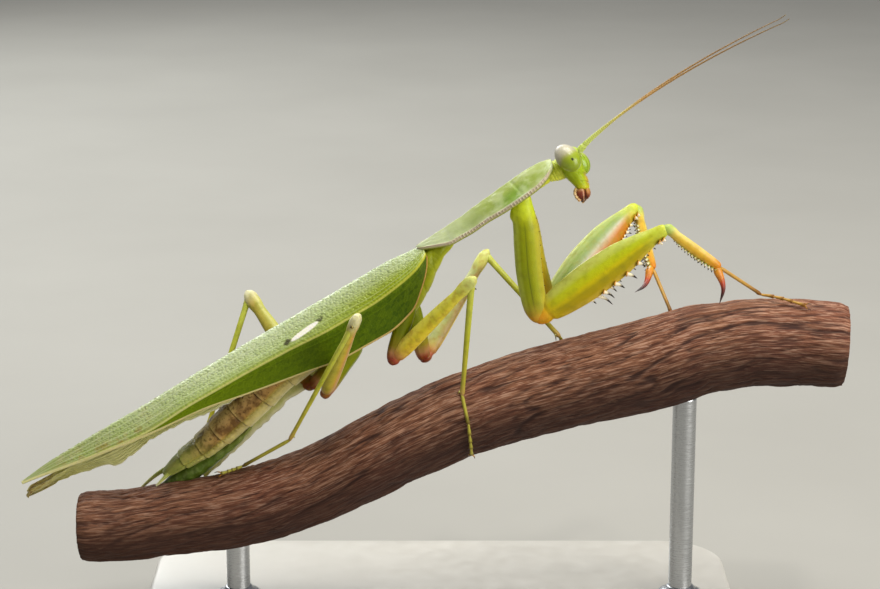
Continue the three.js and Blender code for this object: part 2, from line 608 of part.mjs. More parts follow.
// Half-widths and half-heights along each segment, from its root to its far end.
const SEGMENTS = {
  fore: {
    coxa: [[0.02, 0.6, 0.85, 0.2], [0.1, 0.9, 1.15, 0.15], [0.28, 1.1, 1.45, 0], [0.58, 1.1, 1.5, -0.3],
      [0.84, 1.0, 1.45, -0.25], [0.98, 0.85, 1.25, -0.05], [1.05, 0.5, 0.7, 0]],
    femur: [[-0.02, 0.6, 0.9, 0], [0.03, 0.85, 1.5, 0], [0.2, 1.15, 2.05, 0], [0.42, 1.25, 2.35, 0.05],
      [0.64, 1.1, 2.15, 0.1], [0.82, 0.85, 1.5, 0.15], [0.94, 0.75, 1.05, 0.05], [1.0, 0.62, 0.8, 0],
      [1.03, 0.4, 0.45, 0]],
    tibia: [[0.06, 0.5, 0.6, 0.2], [0.2, 0.55, 0.68, 0.15], [0.5, 0.55, 0.72, 0.05],
      [0.82, 0.5, 0.66, 0], [1, 0.42, 0.5, 0]],
  },
  mid: {
    coxa: [[0, 0.7, 0.9, 0], [0.2, 0.9, 1.1, 0], [0.7, 0.85, 1.05, 0], [0.95, 0.7, 0.85, 0],
      [1.03, 0.4, 0.5, 0]],
    femur: [[0.03, 0.45, 0.6, 0], [0.08, 0.65, 0.95, 0], [0.3, 0.7, 1.0, 0], [0.6, 0.6, 0.86, 0],
      [0.85, 0.5, 0.7, 0], [0.97, 0.5, 0.7, 0], [1.03, 0.3, 0.45, 0]],
    tibia: [[0.02, 0.32, 0.4, 0], [0.08, 0.4, 0.48, 0], [0.5, 0.35, 0.4, 0], [0.94, 0.32, 0.36, 0],
      [1, 0.27, 0.3, 0]],
  },
};
SEGMENTS.hind = SEGMENTS.mid;

const ANKLE_RADIUS = 0.29;
const TARSUS_WAIST = 0.26;
const TARSUS_PAD = 0.34; // where one short segment of the foot meets the next
const TARSUS_LIFT = TARSUS_PAD + GAP; // from the bark to the foot's centre line
const PAD_SHARES = [0, 0.3, 0.52, 0.72, 1]; // where the short foot segments end, from heel to toe

// Rows of spines along the inner edge of a fore segment: where they stand, their length, and the side.
const FEMUR_SPINES = [
  { from: 0.4, to: 0.54, count: 3, length: 1.7, side: 0.1, lean: 0.2 },
  { from: 0.46, to: 0.86, count: 5, length: 1.0, side: 0.55, lean: 0.1 },
  { from: 0.5, to: 0.9, count: 4, length: 0.95, side: -0.55, lean: 0.1 },
];
const TIBIA_SPINES = [
  { from: 0.3, to: 0.92, count: 4, length: 0.8, side: 0.5, lean: 0.35 },
  { from: 0.35, to: 0.95, count: 4, length: 0.75, side: -0.5, lean: 0.35 },
];

// A three-sided thorn with a sharp point.
const THORN_RADIUS = 0.24;
function thorn(root, tip, radius) {
  const along = tip.clone().sub(root);
  const cone = new THREE.ConeGeometry(radius, along.length(), 3).translate(0, along.length() / 2, 0);
  const turn = new THREE.Quaternion().setFromUnitVectors(new THREE.Vector3(0, 1, 0), along.normalize());
  return closed(cone.applyQuaternion(turn).translate(root.x, root.y, root.z));
}

// Spines on the segment from a to b whose profile is rows, standing out against up.
function spines(a, b, rows, up, sets) {
  const along = b.clone().sub(a).normalize();
  const side = new THREE.Vector3().crossVectors(up, along).normalize();
  const over = new THREE.Vector3().crossVectors(along, side);
  return sets.flatMap(({ from, to, count, length, side: across, lean }) =>
    Array.from({ length: count }, (_, i) => {
      const t = from + ((to - from) * i) / (count - 1);
      const [w, h] = reading(rows, t);
      const long = length * (i % 2 ? 0.75 : 1);
      const root = a.clone().lerp(b, t)
        .addScaledVector(side, across * w * 0.6).addScaledVector(over, -h * 0.8);
      const tip = root.clone().addScaledVector(over, -(long + h * 0.2))
        .addScaledVector(side, across * 0.5).addScaledVector(along, lean * long);
      return thorn(root, tip, THORN_RADIUS);
    }));
}

const joined = (solids) => wasm.Manifold.union(solids);

const TARSUS_CLAWS = 0.9;

// A foot from the ankle to its heel on the perch, then in short segments round the bark to the toe.
const tarsus = (ankle, heel, toe) => (grow) => {
  const from = offPerch(ankle);
  const step = (share) => onPerch(
    [THREE.MathUtils.lerp(from.x, heel[0], share), THREE.MathUtils.lerp(from.angle, heel[1], share)],
    THREE.MathUtils.lerp(from.lift, TARSUS_LIFT, share));
  const round = (share) => {
    const [station, angle] = heel.map((value, k) => THREE.MathUtils.lerp(value, toe[k], share));
    return onPerch([station, angle], TARSUS_LIFT);
  };
  const points = [ankle, step(0.5), step(1)];
  const radii = [ANKLE_RADIUS, TARSUS_WAIST, TARSUS_PAD];
  PAD_SHARES.slice(1).forEach((share, i) => {
    points.push(round((PAD_SHARES[i] + share) / 2), round(share));
    radii.push(TARSUS_WAIST, TARSUS_PAD);
  });
  const up = perchAt(heel[0]).along.clone().add(new THREE.Vector3(0.1, 0.2, 0.3)).normalize();
  const foot = sweep(points, radii.map((r) => [r, r]), up, { sides: 5, grow });
  const last = points[points.length - 1];
  const along = last.clone().sub(points[points.length - 3]).normalize();
  const outward = last.clone().sub(perchAt(toe[0]).centre).normalize();
  const across = new THREE.Vector3().crossVectors(along, outward);
  const place = (forward, aside, out) => last.clone()
    .addScaledVector(along, forward).addScaledVector(across, aside).addScaledVector(outward, out);
  const claws = [-1, 1].map((hand) =>
    thorn(place(-0.2, hand * 0.05, 0), place(TARSUS_CLAWS, hand * 0.5, -0.1), THORN_RADIUS + grow));
  return joined([foot, ...claws]);
};

const CLAW_LENGTH = 4.1;
const CLAW_RADIUS = 0.5;

for (const [name, pose] of Object.entries(LIMBS)) {
  const [place, side] = name.split("_");
  const lengths = LIMB_LENGTHS[place];
  const shapes = SEGMENTS[place];
  const root = body(...pose.root);
  const trochanter = root.clone().addScaledVector(direction(pose.coxa), lengths.coxa);
  const knee = trochanter.clone().addScaledVector(direction(pose.femur), lengths.femur);
  const ankle = knee.clone().addScaledVector(direction(pose.tibia), lengths.tibia);
  // The plane of the bend at the knee sets which way a segment is deep.
  const bend = new THREE.Vector3().crossVectors(direction(pose.femur), direction(pose.tibia)).normalize();
  const femurUp = new THREE.Vector3().crossVectors(bend, direction(pose.femur)).negate();
  const tibiaUp = new THREE.Vector3().crossVectors(bend, direction(pose.tibia)).negate();
  const coxaUp = new THREE.Vector3().crossVectors(bend, direction(pose.coxa)).negate();
  const segment = (kind, a, b, up, sets = []) => (grow) => {
    const bone = limb(a, b, shapes[kind], up, { sides: place === "fore" ? 10 : 8, grow });
    return grow || !sets.length ? bone : joined([bone, ...spines(a, b, shapes[kind], up, sets)]);
  };
  const named = (kind) => `${place}_${kind}_${side}`;
  const around = ["thorax", "prothorax", "pronotum", "abdomen", "perch", ...FOREWINGS,
    "hindwing_right", "hindwing_left"];
  const fore = place === "fore";
  const material = fore ? "foreleg" : "walking";
  part(named("coxa"), material, segment("coxa", root, trochanter, coxaUp), around);
  part(named("femur"), material,
    segment("femur", trochanter, knee, femurUp, fore ? FEMUR_SPINES : []), [...around, named("coxa")]);
  part(named("tibia"), fore ? "shin" : material,
    segment("tibia", knee, ankle, tibiaUp, fore ? TIBIA_SPINES : []),
    [...around, named("coxa"), named("femur")]);
  const made = [named("coxa"), named("femur"), named("tibia")];
  if (fore) {
    const tip = ankle.clone().addScaledVector(direction(pose.claw), CLAW_LENGTH);
    const start = ankle.clone().addScaledVector(tibiaUp, -0.35);
    const bulge = start.clone().lerp(tip, 0.5).addScaledVector(direction(pose.tibia), 0.45);
    part(named("claw"), "claw", (grow) =>
      spine([start, bulge, tip], CLAW_RADIUS, { sides: 6, steps: 5, grow }), made);
    made.push(named("claw"));
  }
  part(named("tarsus"), fore ? "shin" : material,
    tarsus(ankle, pose.heel, pose.toe), ["perch", ...made]);
}

export default mantis;
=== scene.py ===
# %% [markdown]
# # A praying mantis on a branch
# This lesson dresses a packed set of plain solids as a life-size mantis: hard glossy plates, folded wings
# with raised veins, spiny forelegs, and a bare branch on a small display stand. The solids give every place
# and size, so the first step loads them. Each later step makes one piece or one finish.

# %% Load the frame
import math

import bpy
import numpy as np
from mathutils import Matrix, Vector


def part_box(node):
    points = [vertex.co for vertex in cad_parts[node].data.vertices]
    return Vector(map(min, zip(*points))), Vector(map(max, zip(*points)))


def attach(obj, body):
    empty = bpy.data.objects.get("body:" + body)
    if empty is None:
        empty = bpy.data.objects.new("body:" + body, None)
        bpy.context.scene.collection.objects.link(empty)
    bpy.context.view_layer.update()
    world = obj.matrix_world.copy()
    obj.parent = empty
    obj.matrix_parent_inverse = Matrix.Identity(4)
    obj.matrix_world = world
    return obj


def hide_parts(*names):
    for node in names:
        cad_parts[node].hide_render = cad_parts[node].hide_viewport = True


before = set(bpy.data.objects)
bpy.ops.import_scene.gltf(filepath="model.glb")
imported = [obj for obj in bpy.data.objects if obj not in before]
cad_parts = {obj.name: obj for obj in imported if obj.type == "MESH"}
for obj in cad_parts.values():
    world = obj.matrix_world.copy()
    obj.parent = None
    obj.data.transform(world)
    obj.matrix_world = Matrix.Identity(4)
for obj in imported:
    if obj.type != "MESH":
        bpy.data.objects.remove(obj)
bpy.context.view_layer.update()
MM = 0.001

# %% [markdown]
# ## Measuring the solids
# Most of the solids are tubes: a leg segment, a foot, a feeler, the branch. Their centre line could be typed
# in again as numbers, but then it would go wrong when a solid moves. Cutting a solid with a plane gives an
# outline whose middle lies on the centre line, so walking along a solid, cut by cut, measures it.

# %% Vectors, and cuts through a solid
SIDES = {"right": -1, "left": 1}
CUTS = 400  # more cuts than any solid needs
LAST_CUT = 0.35  # an outline shorter than this lies past a solid's end
FLAT_END = 0.08  # points this near the farthest one belong to the same flat end


def vec(*values):
    return np.array(values, float)


def unit(v):
    return v / np.linalg.norm(v)


def solid(name):
    """Vertices in millimetres and triangles of a frame node."""
    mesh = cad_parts[name].data
    mesh.calc_loop_triangles()
    points = np.empty(len(mesh.vertices) * 3)
    mesh.vertices.foreach_get("co", points)
    triangles = np.empty(len(mesh.loop_triangles) * 3, int)
    mesh.loop_triangles.foreach_get("vertices", triangles)
    return points.reshape(-1, 3) / MM, triangles.reshape(-1, 3)


def outline(points, triangles, origin, normal, reach):
    """Middles and lengths of the cut lines where a plane crosses a solid, near the origin."""
    height = ((points - origin) @ normal)[triangles]
    above = height >= 0
    crossed = above.any(1) & ~above.all(1)
    height, above, corners = height[crossed], above[crossed], points[triangles[crossed]]
    ends, cuts = [], []
    for a, b in ((0, 1), (1, 2), (2, 0)):
        cut = above[:, a] != above[:, b]
        share = height[:, a] / np.where(cut, height[:, a] - height[:, b], 1)
        cuts.append(cut[:, None])
        ends.append(corners[:, a] + share[:, None] * (corners[:, b] - corners[:, a]))
    first = np.where(cuts[0], ends[0], ends[1])
    second = np.where(cuts[2], ends[2], ends[1])
    middle = (first + second) / 2
    length = np.linalg.norm(second - first, axis=1)
    near = np.linalg.norm(middle - origin, axis=1) < reach
    return middle[near], length[near]

# %% Walking along a solid
def follow(name, start, heading, step, reach):
    """Centres and radii along a tube-like solid, from a start point to its end."""
    points, triangles = solid(name)
    centres, radii = [start], []
    for _ in range(CUTS):
        middle, length = outline(points, triangles, centres[-1] + heading * step, heading, reach)
        if length.sum() < LAST_CUT:
            break
        centre = (middle * length[:, None]).sum(0) / length.sum()
        radii.append(length.sum() / (2 * math.pi))
        heading = unit(heading + unit(centre - centres[-1]))
        centres.append(centre)
    return np.array(centres), np.array(radii[:1] + radii)


def from_tip(name, root, step, reach):
    """Centres along a tube-like solid from its root to its tip, walked from the tip, which lies free."""
    points, _ = solid(name)
    tip = points[np.linalg.norm(points - root, axis=1).argmax()]
    near = points[np.linalg.norm(points - tip, axis=1) < reach * 2.5]
    centres, _ = follow(name, tip, unit(near.mean(0) - tip), step, reach)
    return np.concatenate([[root], centres[:0:-1], [tip]])


def far_end(name, origin):
    """The middle of a solid's flat end that is farthest from an origin."""
    points, _ = solid(name)
    along = unit(points.mean(0) - origin)
    for _ in range(3):
        height = (points - origin) @ along
        tip = points[height > height.max() - FLAT_END].mean(0)
        along = unit(tip - origin)
    return tip


# %% [markdown]
# ## Curves and tables
# A plate or a limb is described by a short table: at these places along it, these widths and heights. A
# smooth curve through each column fills in the rest. The curve is held so that it never overshoots, because
# an overshoot on a thin plate shows at once as a bulge.

# %% Reading tables smoothly
def cubic(x, y, tangent, at):
    """Reads values and tangents given at rising places x, on one cubic curve between each two."""
    i = np.clip(np.searchsorted(x, at, "right") - 1, 0, len(x) - 2)
    width = (x[i + 1] - x[i])[:, None]
    t = (at - x[i])[:, None] / width
    return ((1 + 2 * t) * (1 - t) ** 2 * y[i] + t * (1 - t) ** 2 * width * tangent[i]
            + t * t * (3 - 2 * t) * y[i + 1] + t * t * (t - 1) * width * tangent[i + 1])


def smooth(rows, at):
    """Reads a table of [place, value, ...] rows at some places, on curves that don't overshoot."""
    rows = np.array(sorted(rows), float)
    x, y = rows[:, 0], rows[:, 1:]
    slope = np.diff(y, axis=0) / np.diff(x)[:, None]
    before, after = slope[:-1], slope[1:]
    rising = before * after > 0
    tangent = np.zeros_like(y)
    tangent[1:-1] = np.where(rising, 2 * before * after / np.where(rising, before + after, 1), 0)
    tangent[0], tangent[-1] = slope[0], slope[-1]
    return cubic(x, y, tangent, np.clip(np.atleast_1d(np.asarray(at, float)), x[0], x[-1]))

# %% Curves through points
def chord(points):
    """Length run along a line at each of its points."""
    return np.concatenate([[0], np.cumsum(np.linalg.norm(np.diff(points, axis=0), axis=1))])


def curve(points, at):
    """Points on a smooth curve through a few points, at given lengths run along them."""
    points = np.asarray(points, float)
    x = chord(points)
    return cubic(x, points, np.gradient(points, x, axis=0), at)


def bend(points, count):
    """Evenly spaced points on a smooth curve through a few points."""
    fine = curve(points, np.linspace(0, chord(points)[-1], count * 4))
    run = chord(fine)
    even = np.linspace(0, run[-1], count)
    return np.stack([np.interp(even, run, fine[:, k]) for k in range(fine.shape[1])], 1)


def steps(count):
    """Evenly spaced values from 0 to 1."""
    return np.linspace(0, 1, count)


def round_angles(count):
    """Evenly spaced angles round a ring."""
    return np.arange(count) / count * 2 * math.pi


def bump(x, middle, width):
    """A smooth hill of height 1."""
    return np.exp(-(((x - middle) / width) ** 2))


def ease(x, low, high):
    """0 below low, 1 above high, smooth between."""
    t = np.clip((x - low) / (high - low), 0, 1)
    return t * t * (3 - 2 * t)


# %% [markdown]
# ## From points to pieces
# Every hard part of an insect is a skin over rings of points, so one lofting function serves the whole
# animal. It also stores, at every point, how far along and how far round the part it lies. The finishes
# read those two values, which puts a reddish joint or a dark spine tip in the right place without any image.

# %% Skins over rings
def skin(rings, caps=True, **marks):
    """Points, faces and marks of a skin over rings. rings is an array of ring, point, xyz."""
    count, around, _ = rings.shape
    points = rings.reshape(-1, 3)
    ring, side = np.meshgrid(np.arange(count - 1), np.arange(around), indexing="ij")
    a = (ring * around + side).ravel()
    b = (ring * around + (side + 1) % around).ravel()
    faces = [np.stack([a, b, b + around, a + around], 1)]
    values = {key: np.broadcast_to(value, (count, around)).ravel() for key, value in marks.items()}
    if caps:
        ends = [rings[0].mean(0), rings[-1].mean(0)]
        points = np.concatenate([points, ends])
        s = np.arange(around)
        last = (count - 1) * around
        low = np.stack([(s + 1) % around, s, np.full(around, count * around)], 1)
        high = np.stack([last + s, last + (s + 1) % around, np.full(around, count * around + 1)], 1)
        faces += [low, high]
        values = {key: np.append(value, [value[0], value[-1]]) for key, value in values.items()}
    return points, faces, values

# %% Tubes
def ring_axes(line, up):
    """For each point of a line, the direction along it, to its side and over it."""
    along = np.gradient(line, axis=0)
    along /= np.linalg.norm(along, axis=1)[:, None]
    side = np.cross(np.broadcast_to(up, line.shape), along)
    side /= np.linalg.norm(side, axis=1)[:, None]
    return along, side, np.cross(along, side)


def tube(line, widths, heights, up, sides=24, lift=0, fullness=2.0, relief=0, **marks):
    """A closed skin along a line with oval rings, raised by a relief. Adds the marks along, over, aside."""
    line = np.asarray(line, float)
    count = len(line)
    _, side, over = ring_axes(line, up)
    angle = round_angles(sides)
    c, s = np.cos(angle), np.sin(angle)
    reach = (np.abs(c) ** fullness + np.abs(s) ** fullness) ** (-1 / fullness)
    w = (np.broadcast_to(widths, (count,))[:, None] + relief) * (reach * c)[None, :]
    h = (np.broadcast_to(heights, (count,))[:, None] + relief) * (reach * s)[None, :]
    h = h + np.broadcast_to(lift, (count,))[:, None]
    rings = line[:, None] + w[..., None] * side[:, None] + h[..., None] * over[:, None]
    marks = {"along": steps(count)[:, None], "over": s[None, :], "aside": c[None, :], **marks}
    return skin(rings, **marks)

# %% From skins to pieces
def joined(parts):
    """One set of points, faces and marks from several."""
    names = {name for _, _, marks in parts for name in marks}
    points, faces, marks = [], [], {name: [] for name in names}
    offset = 0
    for part_points, part_faces, part_marks in parts:
        points.append(part_points)
        faces += [face + offset for face in part_faces]
        for name in names:
            marks[name].append(part_marks.get(name, np.zeros(len(part_points))))
        offset += len(part_points)
    return np.concatenate(points), faces, {name: np.concatenate(v) for name, v in marks.items()}


PIECES = []


def placed(name, data):
    """An object in the scene for a mesh, a lamp or a camera."""
    made = bpy.data.objects.new(name, data)
    bpy.context.scene.collection.objects.link(made)
    return made


def piece(name, parts, finish, slot, *replaced):
    """Makes an object from a skin in millimetres, with its finish, and ties it to the frame."""
    points, faces, marks = joined(parts) if isinstance(parts, list) else parts
    mesh = bpy.data.meshes.new(name)
    sizes = np.concatenate([np.full(len(face), face.shape[1]) for face in faces])
    corners = np.concatenate([face.ravel() for face in faces]).astype(np.int32)
    mesh.vertices.add(len(points))
    mesh.vertices.foreach_set("co", (points * MM).astype(np.float32).ravel())
    mesh.loops.add(len(corners))
    mesh.loops.foreach_set("vertex_index", corners)
    mesh.polygons.add(len(sizes))
    starts = np.concatenate([[0], np.cumsum(sizes)[:-1]]).astype(np.int32)
    mesh.polygons.foreach_set("loop_start", starts)
    mesh.polygons.foreach_set("use_smooth", np.ones(len(sizes), bool))
    mesh.update(calc_edges=True)
    mesh.validate()
    for key, value in marks.items():
        mesh.attributes.new(key, "FLOAT", "POINT").data.foreach_set("value", value.astype(np.float32))
    made = placed(name, mesh)
    mesh.materials.append(finish)
    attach(made, "root")
    if replaced:
        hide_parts(*replaced)
    PIECES.append((name, len(mesh.polygons)))
    return made


# %% [markdown]
# ## Camera, light and floor
# The model is small, so a long lens from about 0.3 m gives the flat, close look of an insect portrait. One
# large soft lamp above acts as the sky, a weaker one from the front opens the shadows, and a third behind
# draws a pale edge round the limbs. A tiny one adds the crisp sparks on the eyes and the wing's cells. The
# floor is plain and pale.

# %% Camera
AIM = vec(0, 0, 0.045)
CAMERA_ELEVATION = math.radians(15)
CAMERA_DISTANCE = 0.3056


def look(location, target):
    """The turn that points an object's -Z axis from a location to a target."""
    return Vector(target - location).to_track_quat("-Z", "Y").to_euler()


camera_data = bpy.data.cameras.new("portrait")
camera_data.lens = 100
camera_data.sensor_width = 36
camera_data.clip_start = 0.01
camera = placed("portrait", camera_data)
camera.location = AIM + CAMERA_DISTANCE * vec(0, -math.cos(CAMERA_ELEVATION), math.sin(CAMERA_ELEVATION))
camera.rotation_euler = look(np.array(camera.location), AIM)
bpy.context.scene.camera = camera
bpy.context.scene.view_settings.view_transform = "Standard"
print("camera", [round(v, 4) for v in camera.location])

# %% Lamps and the pale surroundings
LAMPS = {  # place, size, power in watts, colour
    "sky": (vec(0.02, 0.02, 0.55), 0.4, 3.3, (1.0, 0.99, 0.95)),
    "front": (vec(0.42, -0.36, 0.2), 0.4, 2.9, (1.0, 0.97, 0.91)),
    "rim": (vec(-0.2, 0.42, 0.3), 0.3, 1.4, (0.96, 1.0, 1.0)),
    "spark": (vec(0.065, -0.26, 0.6), 0.05, 0.6, (1.0, 0.98, 0.93)),
}
for name, (place, size, power, tint) in LAMPS.items():
    lamp_data = bpy.data.lights.new(name, "AREA")
    lamp_data.size = size
    lamp_data.energy = power
    lamp_data.color = tint
    lamp = placed(name, lamp_data)
    lamp.location = place
    lamp.rotation_euler = look(place, AIM)
world = bpy.data.worlds.new("studio")
world.use_nodes = True
backdrop = world.node_tree.nodes["Background"].inputs
backdrop["Color"].default_value = (0.86, 0.9, 0.95, 1)
backdrop["Strength"].default_value = 0.25
bpy.context.scene.world = world


# %% [markdown]
# ## Building finishes
# Every finish is a small network of shader nodes. Short helper calls keep each one readable: put a value or
# a link into a socket, mix two colours, ramp a mask, read a mark stored on the mesh.

# %% Helpers for shader nodes
def colour(code):
    """A linear colour from a hexadecimal display colour."""
    parts = [int(code[i:i + 2], 16) / 255 for i in (1, 3, 5)]
    return tuple(p / 12.92 if p <= 0.04045 else ((p + 0.055) / 1.055) ** 2.4 for p in parts) + (1,)


class Nodes:
    """Short calls that add nodes to a tree. A value may be a number, a colour or another node's output."""

    def __init__(self, tree):
        self.tree = tree

    def put(self, socket, value):
        if isinstance(value, bpy.types.NodeSocket):
            self.tree.links.new(value, socket)
        elif value is not None:
            socket.default_value = colour(value) if isinstance(value, str) else value

    def feed(self, sockets, **values):
        """Puts values into sockets by name, with an underscore for each space."""
        for key, value in values.items():
            self.put(sockets[key.replace("_", " ")], value)

    def add(self, kind, values=(), **settings):
        node = self.tree.nodes.new("ShaderNode" + kind)
        for key, value in settings.items():
            setattr(node, key, value)
        for key, value in dict(values).items():
            self.put(node.inputs[key], value)
        return node

    def mark(self, name):
        return self.add("Attribute", attribute_name=name).outputs["Fac"]

    def read(self, value):
        """A name stands for the mark of that name. Numbers and links stay as they are."""
        return self.mark(value) if isinstance(value, str) else value

    def mix(self, factor, a, b):
        node = self.add("Mix", data_type="RGBA")
        self.put(node.inputs[0], self.read(factor))
        self.put(node.inputs[6], a)
        self.put(node.inputs[7], b)
        return node.outputs[2]

    def maths(self, operation, a, b=None):
        node = self.add("Math", operation=operation)
        self.put(node.inputs[0], self.read(a))
        self.put(node.inputs[1], self.read(b))
        return node.outputs[0]

    def times(self, a, b):
        return self.maths("MULTIPLY", a, b)

    def span(self, value, low, high, to_low=0.0, to_high=1.0):
        """Spreads a range of values to another, smoothly and held at its ends."""
        node = self.add("MapRange", interpolation_type="SMOOTHSTEP")
        for index, number in enumerate((self.read(value), low, high, to_low, to_high)):
            self.put(node.inputs[index], number)
        return node.outputs[0]

    def lay(self, body, *layers):
        """Lays tints over a body: each a tint, what steers it, where it starts and is full, and how much."""
        for tint, value, low, high, most in layers:
            body = self.mix(self.span(value, low, high, 0, most), body, tint)
        return body

    def ramp(self, value, stops):
        """A colour read along a table of places and colours."""
        node = self.add("ValToRGB")
        self.put(node.inputs[0], self.read(value))
        band = node.color_ramp.elements
        places, tints = list(stops), [colour(code) for code in stops.values()]
        for end in (0, -1):
            band[end].position, band[end].color = places[end], tints[end]
        for place, tint in zip(places[1:-1], tints[1:-1]):
            band.new(place).color = tint
        return node.outputs[0]

    def noise(self, vector, scale, detail=3.0, roughness=0.5):
        node = self.add("TexNoise", {"Scale": scale, "Detail": detail, "Roughness": roughness})
        self.put(node.inputs["Vector"], vector)
        return node.outputs["Fac"]

    def place(self):
        """Coordinates on the object, in millimetres."""
        place = self.add("TexCoord").outputs["Object"]
        node = self.add("VectorMath", operation="SCALE")
        self.put(node.inputs[0], place)
        node.inputs["Scale"].default_value = 1 / MM
        return node.outputs[0]

    def grain(self, scale, detail=3.0, roughness=0.5):
        """Noise over the object, at a scale per millimetre."""
        return self.noise(self.place(), scale, detail, roughness)

    def bump(self, height, strength, distance):
        node = self.add("Bump", {"Strength": strength, "Distance": distance})
        self.put(node.inputs["Height"], height)
        return node.outputs[0]

# %% New finishes and groups
def new_finish(name, **constants):
    """A material with a Principled shader whose plain values are set on its own sockets."""
    made = bpy.data.materials.new(name)
    made.use_nodes = True
    nodes, shader = Nodes(made.node_tree), made.node_tree.nodes["Principled BSDF"].inputs
    nodes.feed(shader, **constants)
    return made, nodes, shader


def group(name, inputs, outputs):
    """An empty shader node group with named sockets, its nodes, and its input and output sockets."""
    tree = bpy.data.node_groups.new(name, "ShaderNodeTree")
    for socket, kind, value in inputs:
        made = tree.interface.new_socket(name=socket, in_out="INPUT", socket_type="NodeSocket" + kind)
        if value is not None:
            made.default_value = value
    for socket, kind in outputs:
        tree.interface.new_socket(name=socket, in_out="OUTPUT", socket_type="NodeSocket" + kind)
    nodes = Nodes(tree)
    return tree, nodes, tree.nodes.new("NodeGroupInput").outputs, tree.nodes.new("NodeGroupOutput").inputs


def use_group(nodes, tree, **values):
    """Places a group in a finish and returns its outputs."""
    node = nodes.add("Group", node_tree=tree)
    nodes.feed(node.inputs, **values)
    return node.outputs


# %% [markdown]
# ## Smooth random fields
# Grooves in wood and wrinkles in a wing are random, but the same on every run: the numbers come from a
# seeded table. A field is a grid of random heights with smooth steps between them, and it can wrap round so
# that no seam shows on a tube.

# %% Seeded fields
def field(u, v, cells_u, cells_v, seed, wrap=False):
    """Smooth random values from 0 to 1 over u and v, which run from 0 to 1."""
    table = np.random.default_rng(seed).random((cells_u + 2, cells_v + 2))
    if wrap:
        table[:, cells_v] = table[:, 0]
        table[:, cells_v + 1] = table[:, 1]
    x, y = np.broadcast_arrays(np.clip(u, 0, 1) * cells_u, np.clip(v, 0, 1) * cells_v)
    i = np.clip(x.astype(int), 0, cells_u)
    j = np.clip(y.astype(int), 0, cells_v)
    s, t = x - i, y - j
    s, t = s * s * (3 - 2 * s), t * t * (3 - 2 * t)
    return ((table[i, j] * (1 - s) + table[i + 1, j] * s) * (1 - t)
            + (table[i, j + 1] * (1 - s) + table[i + 1, j + 1] * s) * t)


# %% [markdown]
# ## The floor
# A wide pale sheet with a faint mottle, so that soft shadows read on it and nothing competes with the
# animal.

# %% Floor
def floor_finish():
    made, nodes, shader = new_finish("studio_floor", Roughness=0.75)
    grain = nodes.grain(0.02, 4)
    nodes.put(shader["Base Color"], nodes.mix(grain, "#96938c", "#a19e97"))
    fine = nodes.grain(1.5, 2)
    nodes.put(shader["Normal"], nodes.bump(fine, 0.05, 0.0002))
    return made


FLOOR_SIZE = 3.0
floor_mesh = bpy.data.meshes.new("floor")
corner = FLOOR_SIZE / 2
floor_mesh.from_pydata([(x * corner, y * corner, 0) for x, y in ((-1, -1), (1, -1), (1, 1), (-1, 1))],
                       [], [(0, 1, 2, 3)])
floor_mesh.materials.append(floor_finish())
floor = placed("floor", floor_mesh)

# %% [markdown]
# ## The branch
# The perch is a bare, weathered length of branch. Its bark is gone, so long fibres show, with wavy grooves
# that close and open along it, and the two sawn ends show rings. A bump in the finish alone would leave its
# edge perfectly smooth, so the grooves are cut into the mesh, and its ridges rise to the soles of the feet.

# %% Branch shape
WOOD_SIDES = 220
WOOD_STEP = 0.25
GROOVE_DEPTH = 0.5
RIDGE_RISE = 0.18  # lifts the ridges between the grooves to the soles of the feet
SAWN_DEPTH = 0.7  # how far in X the slanting sawn end reaches
SAWN_RINGS = 22
SOLID_SIDES = 24  # of the branch's solid, whose flat sides lie a little inside the real round
TWIST = 0.35  # turns of the fibres over the branch's length


def wood_grooves(along, turn, length):
    """How deep the weathered grooves are, from 0 to 1, over a branch's length and round it."""
    twist = turn + TWIST * along + 0.03 * (field(along, turn, 7, 5, 11, True) - 0.5)
    twist = twist % 1
    waver = twist + 0.006 * np.sin(along * length * 0.9 + 9 * field(along, turn, 12, 7, 17, True))
    waver = waver % 1
    fibres = field(along, waver, int(length / 7), 60, 3, True)
    cracks = field(along, twist, int(length / 14), 19, 5, True)
    fine = field(along, waver, int(length / 2.5), 118, 8, True)
    ridged = 1 - np.abs(2 * fibres - 1)
    deep = ease(1 - np.abs(2 * cracks - 1), 0.88, 1.0)
    return 0.34 * ridged ** 2 + 0.3 * deep + 0.36 * (1 - np.abs(2 * fine - 1))


